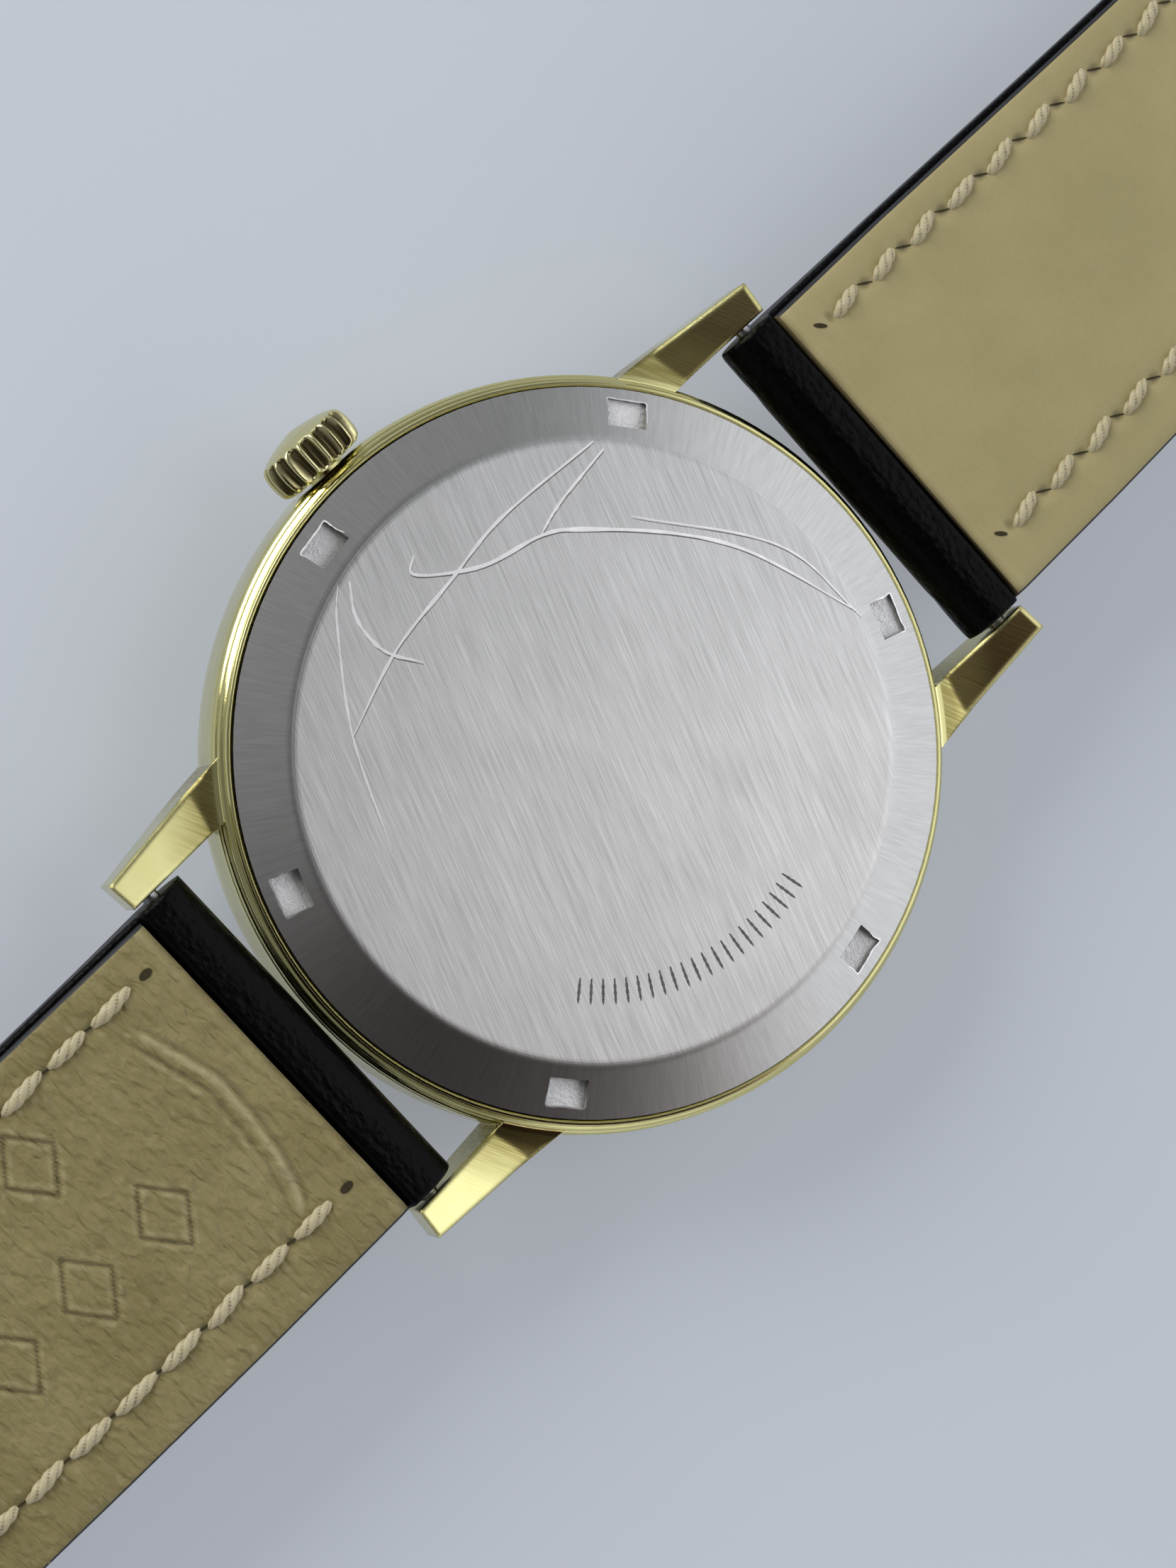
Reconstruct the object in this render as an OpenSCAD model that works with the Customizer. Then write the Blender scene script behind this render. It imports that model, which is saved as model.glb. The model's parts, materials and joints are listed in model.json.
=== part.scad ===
// Round dress wristwatch on a padded leather strap, lying on its crystal.
// Z points out of the case back, Y towards 12 o'clock, X towards 9 o'clock.
// The origin is the middle of the case back's flat face, on the case axis.

/* [Case] */
// Radius of the case at its flank
case_r = 16.94; // [16.9:0.01:17.0]
// Radius of the case back at the foot of its chamfer
back_r = 16.2; // [16.15:0.01:16.22]
// Radius of the flat face of the case back
flat_r = 13.81; // [13.4:0.01:14.1]
// Drop of the case back's chamfer
chamfer_h = 0.79; // [0.6:0.01:0.8]
// Number of wrench notches in the case back
notch_count = 6; // [3:1:8]
// Angle of the first wrench notch from X
notch_angle = 131; // [0:1:359]
// Width of a wrench notch, round the case
notch_w = 1.78; // [1.2:0.02:2.2]
// Length of a wrench notch, along the radius
notch_l = 1.25; // [1:0.05:1.3]
// Depth of the case from the flat face to the top of the crystal
case_depth = 8.6; // [8.6:0.1:9.4]

/* [Lugs] */
// Gap between two lugs, which is the strap size
lug_gap = 18; // [18:0.1:18.4]
// Distance from the case centre to a lug's tip
lug_tip_y = 19.6; // [19.5:0.05:19.9]
// Width of a lug at its tip
lug_tip_w = 1.5; // [1.4:0.05:1.8]
// Rise of a lug's back face for each mm towards its tip
lug_rise = 0.16; // [0.12:0.01:0.18]
// Distance from the case centre to a spring bar
bar_y = 18.6; // [18.6:0.05:18.7]
// Height of the spring bars
bar_z = -1.95; // [-2:0.05:-1.9]

/* [Crown] */
// Radius of the crown
crown_r = 2.3; // [2:0.05:2.5]
// Length of the crown
crown_l = 2.2; // [1.9:0.05:2.6]
// Number of flutes round the crown
flute_count = 18; // [14:1:24]
// Height of the winding stem's axis
stem_z = -2.8; // [-2.9:0.05:-2.7]

/* [Strap] */
// Width of the strap at the lugs
strap_w = 17.4; // [16.8:0.1:17.5]
// Width of the strap at the buckle and at the tip
strap_end_w = 15.8; // [15:0.1:15.8]
// Length of the buckle piece from spring bar to buckle bar
short_len = 75; // [75:1:85]
// Length of the holed piece from spring bar to tip
long_len = 115; // [110:1:125]
// Thickness of the strap at the lugs
strap_t = 2.6; // [2.4:0.1:2.7]
// Thickness of the strap at its ends
strap_end_t = 2.1; // [1.9:0.1:2.2]
// Thickness of the lining leather
lining_t = 0.7; // [0.5:0.1:0.9]
// Radius of the leather roll round a spring bar
roll_r = 1.5; // [1.4:0.05:1.5]
// Number of adjusting holes
hole_count = 7; // [5:1:8]
// Distance between adjusting holes
hole_pitch = 6.5; // [6:0.5:6.5]
// Distance between two stitches of a row
stitch_pitch = 2.6; // [2.4:0.1:3]

/* [Hidden] */
$fn = 96;
floor_z = -case_depth;
gap = 0.02;

// Heights in the case
edge_z = -chamfer_h;
seat_z = -1.25;
dial_z = -5.12;
ledge_z = -5.45;

// Heights in the movement: plate, wheel space, bridges
plate_low = -4.7;
plate_top = -3.4;
bridge_low = -2.0;
bridge_top = -1.2;
move_r = 12.75;

// Places of the wheels: centre wheel on the case axis, small seconds at 6 o'clock
centre_p = [0, 0];
barrel_p = [-4.2, 4.63];
third_p = [3.37, -3.62];
fourth_p = [0, -6.6];
escape_p = [-2.53, -8.72];
pallet_p = [-4.32, -7.2];
balance_p = [-6.2, -5.6];
crown_wheel_p = [-8.4, 0];
minute_wheel_p = [-3.6, 0];
cock_foot_p = [-5.0, -10.6];

// Teeth: barrel 78 on pinion 12, centre 80 on 10, third 75 on 10, fourth 70 on 7
barrel_n = 78;
centre_n = 80;
third_n = 75;
fourth_n = 70;
escape_n = 15;
ratchet_n = 45;
crown_wheel_n = 30;

// Radius of the crown wheel and of the winding pinion
crown_wheel_r = 2.5;
wind_r = 1.45;

// Places of the bridge screws
screw_ps = [[-0.9, 11.0], [-11.0, 3.6], [6.2, 8.9], [8.6, -6.3], [2.5, -10.4]];
foot_ps = [[8.2, 8.0], [-9.6, -7.0]];

// Strap heights: the lining's upper face runs from near the spring bar down to the floor
roll_top = bar_z + roll_r;
lining_y = bar_y + 1.25;
hole_r = 0.9;
first_hole = 28;
bar_hole = 0.8;
bar_r = 0.75;
tip_r = 0.4;

// Strap shape: where the fall starts and ends, and the height it ends at
short_fall = [38, 70, -4.0];
long_fall = [28, 105, floor_z + strap_end_t + 0.05];
buckle_y = bar_y + short_len;
buckle_z = -5.45;
buckle_roll = 1.35;
buckle_bar_r = 0.6;
buckle_tilt = -11.5;
frame_w = 20.4;
frame_l = 9.6;
frame_gap = 16.3;
frame_t = 2.0;
tongue_w = 1.5;
keeper_t = 1.0;
keeper_w = 4.5;
fixed_keeper_y = 84.2;
free_keeper_y = 75.5;
keeper_room = 1.5;
tip_round = 9;

// ---- shared shapes ----

// Upright cylinder between two heights
module post(p, r, z0, z1) {
    translate([p.x, p.y, z0]) cylinder(r = r, h = z1 - z0);
}

// Upright ring between two heights
module ring(r1, r0, z0, z1) {
    difference() {
        post([0, 0], r1, z0, z1);
        post([0, 0], r0, z0 - 1, z1 + 1);
    }
}

// Cylinder along X between two places
module rod(y, z, r, x0, x1) {
    translate([x0, y, z]) rotate([0, 90, 0]) cylinder(r = r, h = x1 - x0);
}

// Outline of a wheel with trapezoid teeth that reach a little past the pitch circle
module teeth_2d(n, r) {
    m = 2 * r / n;
    steps = [[0, -1.1], [0.22, -1.1], [0.36, 0.15], [0.64, 0.15], [0.78, -1.1]];
    polygon([for (i = [0:n - 1]) for (s = steps)
        let (a = (i + s[0]) * 360 / n, q = r + s[1] * m) q * [cos(a), sin(a)]]);
}

// Toothed wheel with spokes left between round windows
module wheel(p, n, r, z, h, windows = 5, hub = 0.9, bore = 0) {
    mid = (r * 0.86 + hub) / 2;
    win = min((r * 0.86 - hub) / 2 - 0.05, mid * sin(180 / windows) - 0.12);
    translate([p.x, p.y, z]) linear_extrude(h) difference() {
        teeth_2d(n, r);
        for (i = [0:windows - 1]) rotate(i * 360 / windows) translate([mid, 0]) circle(r = win);
        if (bore > 0) circle(r = bore);
    }
}

// Small pinion, with no spokes
module pinion(p, n, r, z0, z1, bore = 0) {
    translate([p.x, p.y, z0]) linear_extrude(z1 - z0) difference() {
        teeth_2d(n, r);
        if (bore > 0) circle(r = bore);
    }
}

// Flat spiral of a strip: r0 to r1 in the given turns
module spiral_2d(r0, r1, turns, strip, per_turn = 24) {
    n = turns * per_turn;
    path = function (i, side) let (a = i * 360 / per_turn, r = r0 + (r1 - r0) * i / n + side * strip / 2)
        r * [cos(a), sin(a)];
    polygon(concat([for (i = [0:n]) path(i, 1)], [for (i = [n:-1:0]) path(i, -1)]));
}

// Pitch radius of the first of two wheels that mesh, from their places and teeth
function mesh_r(a, b, na, nb) = norm(a - b) * na / (na + nb);

// ---- case ----

// Outline of one lug seen from the back
module lug_plan() {
    x = lug_gap / 2;
    polygon([[x, 11], [x, lug_tip_y], [x + lug_tip_w, lug_tip_y + 0.15], [x + lug_tip_w + 0.08, lug_tip_y - 0.6],
        [x + 2.05, 14.5], [x + 2.35, 11]]);
}

// Side view of one lug: a straight back face rising to the tip, front face curving down to the case
module lug_side() {
    polygon([[11, -0.8 - (lug_tip_y - 11) * lug_rise], [20, -0.8 + (20 - lug_tip_y) * lug_rise], [20, -2.85],
        [19, -3.2], [17.6, -3.75], [16, -4.35], [14, -4.9], [11, -5.05]]);
}

// Moves to a point on the edge between a lug's back face and its side, turned along that edge
module on_lug_edge(x, turn) {
    translate([x, 14.5, -0.8 - (lug_tip_y - 14.5) * lug_rise]) rotate([0, 0, turn]) rotate([atan(lug_rise), 0, 0])
        children();
}

module lug() {
    x = lug_gap / 2;
    difference() {
        intersection() {
            translate([0, 0, -6]) linear_extrude(6) lug_plan();
            translate([x - 1, 0, 0]) rotate([90, 0, 90]) linear_extrude(6) lug_side();
        }
        // bevel across the tip, widest at the outer corner
        translate([x, lug_tip_y - 0.05, -0.8]) rotate([0, 0, -21.4]) rotate([39, 0, 0])
            translate([-4, 0, 0]) cube([8, 6, 4]);
        // narrow polished edges along both sides
        on_lug_edge(x + 2.05, 5.9) rotate([0, 45, 0]) translate([-3, -8, -0.09]) cube([6, 16, 3]);
        on_lug_edge(x, 0) rotate([0, -45, 0]) translate([-3, -8, -0.05]) cube([6, 16, 3]);
        // spring bar hole
        rod(bar_y, bar_z, 0.45, x - 1, x + 1.1);
    }
    // hollow sweep up to the case
    intersection() {
        translate([0, 0, -2.6]) linear_extrude(2) lug_plan();
        rotate_extrude($fn = 256) polygon([[16.5, -2.6], [16.5, -1.42], [16.8, -1.42], [16.95, -1.464], [17.1, -1.502],
            [17.25, -1.535], [17.4, -1.561], [17.55, -1.583], [17.7, -1.6], [17.85, -1.611], [18, -1.619],
            [18.8, -1.72], [18.8, -2.6]]);
    }
}

module mid_case() {
    color("gold") {
        difference() {
            union() {
                rotate_extrude($fn = 256) polygon([[14.0, -2.0], [back_r + 0.06, -1.3], [back_r + 0.06, -0.98],
                    [back_r + 0.14, -0.9], [16.46, -0.93], [16.52, -1.02], [16.52, -1.26], [16.62, -1.32],
                    [16.7, -1.38], [16.73, -1.48], [16.73, -1.66], [16.82, -1.72], [16.88, -1.79], [16.9, -1.9],
                    [16.9, -2.1], [case_r, -2.16], [case_r + 0.04, -3.0], [case_r + 0.04, -4.2], [case_r, -5.1],
                    [16.7, -5.35], [15.75, -5.95], [15.45, -6.02], [14.0, -6.0]]);
                for (sx = [0, 1]) for (sy = [0, 1])
                    mirror([sx, 0, 0]) mirror([0, sy, 0]) difference() {
                        lug();
                        post([0, 0], 16, -7, 0);
                    }
            }
            // back opening with its thread bore, gasket groove and rim seat
            post([0, 0], 15.0, -2.6, 0);
            post([0, 0], back_r + 0.06, seat_z, 0);
            ring(15.95, 15.25, seat_z - 0.5, seat_z + 0.1);
            // bore for the movement and dial, then the opening under the dial
            post([0, 0], 14.8, dial_z, -2);
            post([0, 0], 13.9, -7, -5);
            // crystal seat
            post([0, 0], 15.3, -7, ledge_z);
            // hole for the crown tube
            rod(0, stem_z, 0.9, -18, -14);
            // flat round the crown tube
            rod(0, stem_z, 2.45, -18, -16.9);
        }
    }
}

module crown_tube() {
    color("goldenrod") difference() {
        rod(0, stem_z, 0.9, -17.9, -15.05);
        rod(0, stem_z, 0.55, -19, -14);
    }
}

module crystal() {
    dome_r = (15.3 * 15.3 + 1.9 * 1.9) / (2 * 1.9);
    color("lightblue", 0.4) difference() {
        intersection() {
            post([0, 0], 15.3, floor_z, ledge_z - gap, $fn = 256);
            translate([0, 0, floor_z + dome_r]) sphere(r = dome_r, $fn = 256);
        }
        intersection() {
            post([0, 0], 14.6, floor_z, -5);
            translate([0, 0, floor_z + 0.85 + dome_r]) sphere(r = dome_r, $fn = 256);
        }
    }
}

module tension_ring() {
    color("gold") rotate_extrude($fn = 192) polygon([[14.58, ledge_z - gap], [14.58, -6.0], [14.4, -6.0],
        [13.95, -5.6], [13.95, ledge_z - gap]]);
}

module dial() {
    color("gainsboro") difference() {
        union() {
            post([0, 0], 14.7, dial_z, -4.75);
            for (p = foot_ps) post(p, 0.35, -4.8, -3.9);
        }
        post([0, 0], 1.0, -6, -4);
        post(fourth_p, 0.3, -6, -4);
        // sunk seat of the small seconds
        post(fourth_p, 3.1, -6, dial_z + 0.08);
    }
}

module hour_markers() {
    color("gold") for (i = [0:11]) rotate(i * 30)
        translate([-0.25, 10.9, dial_z - 0.3]) cube([0.5, i == 6 ? 2.0 : 2.4, 0.3 - gap]);
}

module movement_ring() {
    color("silver") ring(14.75, 12.8, -4.72, -3.6);
}

// ---- case back ----

module case_back() {
    color("lightsteelblue") difference() {
        rotate_extrude($fn = 256) polygon([[0, 0], [flat_r - 0.25, 0], [flat_r - 0.14, -0.004], [flat_r - 0.04, -0.015],
            [flat_r + 0.06, -0.032], [flat_r + 0.15, -0.053], [flat_r + 0.25, -0.25 * chamfer_h / (back_r - flat_r)],
            [back_r, edge_z], [back_r, seat_z + gap], [14.95, seat_z + gap], [14.95, -2.2], [13.9, -2.2], [13.9, -0.85], [0, -0.8]]);
        for (i = [0:notch_count - 1]) rotate(notch_angle - i * 360 / notch_count)
            translate([15.06 - notch_l / 2, -notch_w / 2, -0.86]) cube([notch_l, notch_w, 2]);
    }
}

module case_back_gasket() {
    color("dimgray") ring(15.88, 15.32, seat_z - 0.48, seat_z);
}

// ---- crown and winding ----

module crown() {
    color("gold") difference() {
        rotate([0, -90, 0]) translate([stem_z, 0, 0]) rotate_extrude() polygon([[0, 17.1],
            [crown_r - 0.35, 17.1], [crown_r, 17.4], [crown_r, 18.5], [crown_r - 0.42, 19.0],
            [crown_r - 1.1, 17.1 + crown_l - 0.05], [0, 17.1 + crown_l]]);
        // recess over the tube, and the stem's hole
        rod(0, stem_z, 1.32, -18.35, -17);
        rod(0, stem_z, 0.5, -18.8, -17);
        // flutes
        for (i = [0:flute_count - 1]) translate([0, 0, stem_z]) rotate([i * 360 / flute_count, 0, 0])
            rod(0, crown_r + 0.05, 0.24, -18.8, -17);
    }
}

module crown_gasket() {
    color("black") difference() {
        rod(0, stem_z, 1.3, -17.85, -17.45);
        rod(0, stem_z, 0.93, -19, -16);
    }
}

module winding_stem() {
    color("silver") {
        rod(0, stem_z, 0.5, -18.8, -10.35);
        translate([-10.35, -0.3, stem_z - 0.3]) cube([1.15, 0.6, 0.6]);
    }
}

module winding_pinion() {
    color("silver") difference() {
        translate([-11.4, 0, stem_z]) rotate([0, 90, 0]) linear_extrude(1) difference() {
            teeth_2d(18, wind_r);
            circle(r = 0.55);
        }
    }
}

module crown_wheel() {
    color("silver") {
        wheel(crown_wheel_p, crown_wheel_n, crown_wheel_r, -1.18, 0.22, 1, 2.4);
        post(crown_wheel_p, 0.4, -1.8, -1.18);
        post(crown_wheel_p, 0.8, -0.96, -0.9);
    }
}

module ratchet_wheel() {
    color("silver") {
        wheel(barrel_p, ratchet_n, norm(barrel_p - crown_wheel_p) * 0.6, -1.18, 0.22, 1, 3.6, 0.45);
        difference() {
            post(barrel_p, 0.95, -0.96, -0.9);
            translate([barrel_p.x - 1, barrel_p.y - 0.1, -0.93]) cube([2, 0.2, 1]);
        }
    }
}

module barrel_arbor() {
    color("lightgray") {
        post(barrel_p, 0.45, -3.9, -0.96);
        post(barrel_p, 0.9, -2.85, -2.25);
    }
}

module click() {
    color("lightgray") translate([-9.5, 6.6, -1.18]) {
        cylinder(r = 0.5, h = 0.22);
        rotate(-20) translate([0, -0.18, 0]) cube([1.75, 0.36, 0.22]);
        translate([0, 0, -0.5]) cylinder(r = 0.25, h = 0.5);
    }
}

// ---- going train ----

module mainspring_barrel() {
    r = mesh_r(barrel_p, centre_p, barrel_n, 12);
    color("goldenrod") difference() {
        union() {
            pinion(barrel_p, barrel_n, r, -2.95, -2.65);
            post(barrel_p, r - 0.4, -2.65, -2.1);
        }
        post(barrel_p, r - 0.7, -2.87, -2.2);
        post(barrel_p, 0.48, -4, -1);
    }
}

module mainspring() {
    color("slategray") translate([barrel_p.x, barrel_p.y, -2.85]) linear_extrude(0.6)
        spiral_2d(1.0, 4.5, 9, 0.12);
}

module centre_wheel() {
    r = mesh_r(centre_p, third_p, centre_n, 10);
    color("goldenrod") {
        wheel(centre_p, centre_n, r, -3.3, 0.2);
        pinion(centre_p, 12, mesh_r(centre_p, barrel_p, 12, barrel_n), -3.1, -2.12);
        post(centre_p, 0.3, -5.0, -3.3);
        post(centre_p, 0.12, -2.12, -1.7);
    }
}

module third_wheel() {
    color("goldenrod") {
        pinion(third_p, 10, mesh_r(third_p, centre_p, 10, centre_n), -3.33, -2.4);
        wheel(third_p, third_n, mesh_r(third_p, fourth_p, third_n, 10), -2.4, 0.15);
        post(third_p, 0.12, -3.8, -3.33);
        post(third_p, 0.12, -2.25, -1.7);
    }
}

module fourth_wheel() {
    color("goldenrod") {
        wheel(fourth_p, fourth_n, mesh_r(fourth_p, escape_p, fourth_n, 7), -2.95, 0.18);
        pinion(fourth_p, 10, mesh_r(fourth_p, third_p, 10, third_n), -2.77, -2.1);
        post(fourth_p, 0.15, -5.4, -2.95);
        post(fourth_p, 0.12, -2.1, -1.7);
    }
}

module escape_wheel() {
    color("lightgray") {
        difference() {
            translate([escape_p.x, escape_p.y, -3.3]) linear_extrude(0.15)
                polygon([for (i = [0:escape_n - 1]) for (s = [[0, 1.3], [0.5, 1.35], [0.92, 1.7], [0.99, 1.7]])
                    let (a = (i + s[0]) * 360 / escape_n) s[1] * [cos(a), sin(a)]]);
            for (i = [0:3]) post(escape_p + 0.75 * [cos(i * 90), sin(i * 90)], 0.3, -4, -3);
        }
        pinion(escape_p, 7, mesh_r(escape_p, fourth_p, 7, fourth_n), -3.15, -2.65);
        post(escape_p, 0.1, -3.8, -3.3);
        post(escape_p, 0.1, -2.65, -1.7);
    }
}

module pallet_fork() {
    out = balance_p - escape_p;
    color("lightgray") translate([pallet_p.x, pallet_p.y, 0]) rotate(atan2(out.y, out.x)) {
        // lever with its fork, then two arms with pallets
        difference() {
            translate([0, -0.15, -3.3]) cube([2.0, 0.3, 0.18]);
            translate([1.75, -0.07, -4]) cube([1, 0.14, 2]);
        }
        for (s = [-1, 1]) rotate(s * 110) translate([0, -0.15, -3.3]) cube([1.35, 0.3, 0.18]);
        translate([0, 0, -3.8]) cylinder(r = 0.1, h = 1.3);
        translate([0, 0, -3.3]) cylinder(r = 0.32, h = 0.3);
    }
}

module balance_wheel() {
    color("goldenrod") {
        translate([balance_p.x, balance_p.y, -1.9]) linear_extrude(0.35) difference() {
            circle(r = 4.1);
            circle(r = 3.55);
        }
        for (a = [0, 90]) translate([balance_p.x, balance_p.y, -1.9]) rotate(a)
            translate([-3.6, -0.2, 0]) cube([7.2, 0.4, 0.2]);
        post(balance_p, 0.35, -2.6, -1.55);
        post(balance_p, 0.5, -2.75, -2.6);
        post(balance_p, 0.1, -3.8, -2.75);
        post(balance_p, 0.1, -1.55, -1.0);
    }
}

module hairspring() {
    color("slategray") {
        difference() {
            post(balance_p, 0.45, -1.55, -1.38);
            post(balance_p, 0.1, -2, -1);
        }
        translate([balance_p.x, balance_p.y, -1.53]) linear_extrude(0.12) spiral_2d(0.42, 2.2, 8, 0.06);
    }
}

// ---- hands and motion work ----

module cannon_pinion() {
    color("silver") difference() {
        union() {
            pinion(centre_p, 12, mesh_r(centre_p, minute_wheel_p, 12, 36), -4.45, -4.15);
            post(centre_p, 0.5, -5.8, -4.45);
        }
        post(centre_p, 0.3, -5.0, -4);
    }
}

module minute_wheel() {
    color("goldenrod") {
        wheel(minute_wheel_p, 36, mesh_r(minute_wheel_p, centre_p, 36, 12), -4.35, 0.15);
        pinion(minute_wheel_p, 10, mesh_r(minute_wheel_p, centre_p, 10, 40), -4.69, -4.35);
        post(minute_wheel_p, 0.2, -4.2, -3.9);
    }
}

module hour_wheel() {
    color("goldenrod") difference() {
        union() {
            wheel(centre_p, 40, mesh_r(centre_p, minute_wheel_p, 40, 10), -4.66, 0.14, 5, 1.0);
            post(centre_p, 0.85, -5.5, -4.6);
        }
        post(centre_p, 0.55, -7, -4);
    }
}

// Straight hand with a round boss, pointing along Y
module hand(p, boss, bore, w, front, tail, z, h) {
    translate([p.x, p.y, z]) difference() {
        union() {
            cylinder(r = boss, h = h);
            linear_extrude(h) polygon([[-w / 2, -tail], [w / 2, -tail], [w / 2, front - w], [0, front], [-w / 2, front - w]]);
        }
        if (bore > 0) translate([0, 0, -1]) cylinder(r = bore, h = 3);
    }
}

module hour_hand() {
    color("gold") rotate(-60) hand(centre_p, 1.2, 0.85, 0.9, 7.6, 0, -5.65, 0.15);
}

module minute_hand() {
    color("gold") rotate(54) hand(centre_p, 0.95, 0, 0.75, 12.2, 0, -5.98, 0.18);
}

module seconds_hand() {
    color("gold") hand(fourth_p, 0.3, 0.15, 0.16, 2.7, 0.9, -5.38, 0.12);
}

// ---- plate and bridges ----

module main_plate() {
    color("silver") difference() {
        union() {
            post([0, 0], move_r, plate_low, plate_top);
            ring(12.6, 11.8, plate_top - 0.1, bridge_low);
            for (p = screw_ps) intersection() {
                post(p, 1.1, plate_top - 0.1, bridge_low);
                post([0, 0], 12.6, -5, 0);
            }
        }
        // dial side: room for the motion work
        post(centre_p, 3.15, -5, -4.1);
        post(minute_wheel_p, 2.95, -5, -4.1);
        // pivot holes
        post(centre_p, 0.34, -5, -3);
        for (p = [third_p, escape_p, pallet_p, balance_p]) post(p, 0.4, -3.85, -3);
        post(fourth_p, 0.4, -5, -3);
        post(barrel_p, 0.48, -3.95, -3);
        post(minute_wheel_p, 0.23, -4.2, -3.85);
        for (p = foot_ps) post(p, 0.4, -5, -3.85);
        for (p = screw_ps) post(p, 0.4, -4.0, 0);
        post(cock_foot_p, 0.4, -4.0, 0);
        // slots for the stem, the winding pinion and the balance cock's foot
        translate([-14, -0.7, -3.55]) cube([3, 1.4, 2]);
        translate([-11.7, -1.7, -4.45]) cube([2.9, 3.4, 4]);
        post(cock_foot_p, 1.1, plate_top, 0);
        post(barrel_p, 5.7, plate_top, 0);
    }
}

// Room that the bridges leave for the balance
module balance_room() {
    post(balance_p, 4.4, -3, 0);
}

module barrel_bridge() {
    color("silver") difference() {
        translate([0, 0, bridge_low + gap]) linear_extrude(bridge_top - bridge_low - gap) intersection() {
            circle(r = 12.5);
            translate([-14, -1.6]) square([28, 16]);
        }
        balance_room();
        translate([3.1, -3.2, -3]) cube([12, 5, 4]);
        translate([-11.6, -1.6, -3]) cube([1.4, 3.2, 4]);
        post(barrel_p, 0.5, -3, 0);
        post(crown_wheel_p, 0.43, -3, 0);
        post([-9.5, 6.6], 0.28, -3, 0);
        post(centre_p, 0.45, -3, 0);
        for (p = screw_ps) screw_hole(p, bridge_top);
    }
}

// Counterbored hole for one bridge screw
module screw_hole(p, top) {
    post(p, 0.4, -5, 0);
    post(p, 0.8, top - 0.4, top + 1);
}

module train_bridge() {
    color("silver") difference() {
        translate([0, 0, bridge_low + gap]) linear_extrude(bridge_top - bridge_low - gap) intersection() {
            circle(r = 12.5);
            translate([-3.4, -14]) square([16, 12.2]);
        }
        balance_room();
        post(cock_foot_p, 1.2, -3, 0);
        post([0, 0], 1.9, -3, 0);
        for (p = [third_p, fourth_p, escape_p]) post(p, 0.45, -3, 0);
        for (p = screw_ps) screw_hole(p, bridge_top);
    }
}

module pallet_bridge() {
    across = balance_p - escape_p;
    color("silver") difference() {
        translate([pallet_p.x, pallet_p.y, -2.7]) rotate(atan2(across.y, across.x) + 90) union() {
            translate([-0.5, -0.45, 0]) cube([2.7, 0.9, 0.35]);
            translate([2.2, 0, plate_top + 2.7]) cylinder(r = 0.5, h = 0.35 - plate_top - 2.7);
        }
        post(pallet_p, 0.12, -4, 0);
    }
}

module balance_cock() {
    d = balance_p - cock_foot_p;
    color("silver") difference() {
        union() {
            post(cock_foot_p, 0.95, plate_top + gap, -0.92);
            post(balance_p, 1.2, -1.3, -0.92);
            translate([cock_foot_p.x, cock_foot_p.y, -1.3]) rotate(atan2(d.y, d.x))
                translate([0, -0.9, 0]) cube([norm(d), 1.8, 0.38]);
        }
        post(cock_foot_p, 0.4, -5, 0);
        post(cock_foot_p, 0.7, -1.3, 0);
        post(balance_p, 0.45, -2, 0);
    }
}

// Pierced jewel with its hole
module jewel(p, r, bore, z0, z1) {
    translate([p.x, p.y, 0]) ring(r, bore, z0, z1);
}

module jewels() {
    color("crimson") {
        for (p = [third_p, fourth_p, centre_p]) jewel(p, 0.45, 0.14, -1.9, -1.3);
        jewel(escape_p, 0.45, 0.12, -1.9, -1.3);
        jewel(balance_p, 0.45, 0.12, -1.25, -0.95);
        for (p = [third_p, fourth_p]) jewel(p, 0.4, 0.17, -3.8, -3.45);
        for (p = [escape_p, pallet_p, balance_p]) jewel(p, 0.4, 0.12, -3.8, -3.45);
    }
}

// One cheese-head screw with its slot
module screw(p, head_r, top, foot) {
    difference() {
        union() {
            post(p, head_r, top - 0.35, top);
            post(p, 0.38, foot, top - 0.3);
        }
        translate([p.x - 1, p.y - 0.1, top - 0.14]) cube([2, 0.2, 1]);
    }
}

module bridge_screws() {
    color("lightgray") {
        for (p = screw_ps) screw(p, 0.75, bridge_top - 0.02, -3.9);
        screw(cock_foot_p, 0.66, -0.94, -3.9);
    }
}

// ---- spring bars ----

// Tube of a spring bar, with the bores its tips slide in
module bar_tube(y) {
    color("silver") difference() {
        rod(y, bar_z, bar_r, -8.6, 8.6);
        for (s = [-1, 1]) rod(y, bar_z, 0.55, s > 0 ? 5 : -9, s > 0 ? 9 : -5);
    }
}

// Shouldered tip at one end of a spring bar; side is -1 or 1
module bar_tip(y, side) {
    color("lightgray") mirror([side < 0 ? 1 : 0, 0, 0]) {
        rod(y, bar_z, tip_r, 8.55, 9.95);
        rod(y, bar_z, 0.52, 6.2, 8.55);
    }
}

module spring_bar_12() {
    bar_tube(bar_y);
}

module spring_bar_6() {
    bar_tube(-bar_y);
}

module spring_bar_12_tip_left() {
    bar_tip(bar_y, -1);
}

module spring_bar_12_tip_right() {
    bar_tip(bar_y, 1);
}

module spring_bar_6_tip_left() {
    bar_tip(-bar_y, -1);
}

module spring_bar_6_tip_right() {
    bar_tip(-bar_y, 1);
}

// ---- strap ----

// Smooth step from 0 to 1
function ease(t) = let (u = max(0, min(1, t))) u * u * (3 - 2 * u);

// Height of the lining's face at a distance y from the case centre
function face_z(y, fall) = roll_top + (fall[2] - roll_top) * ease((y - fall[0]) / (fall[1] - fall[0]));

// Thickness of the strap at a distance y from the case centre
function thick(y, len) = strap_t + (strap_end_t - strap_t) * ease((y - bar_y) / (len - 20));

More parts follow.
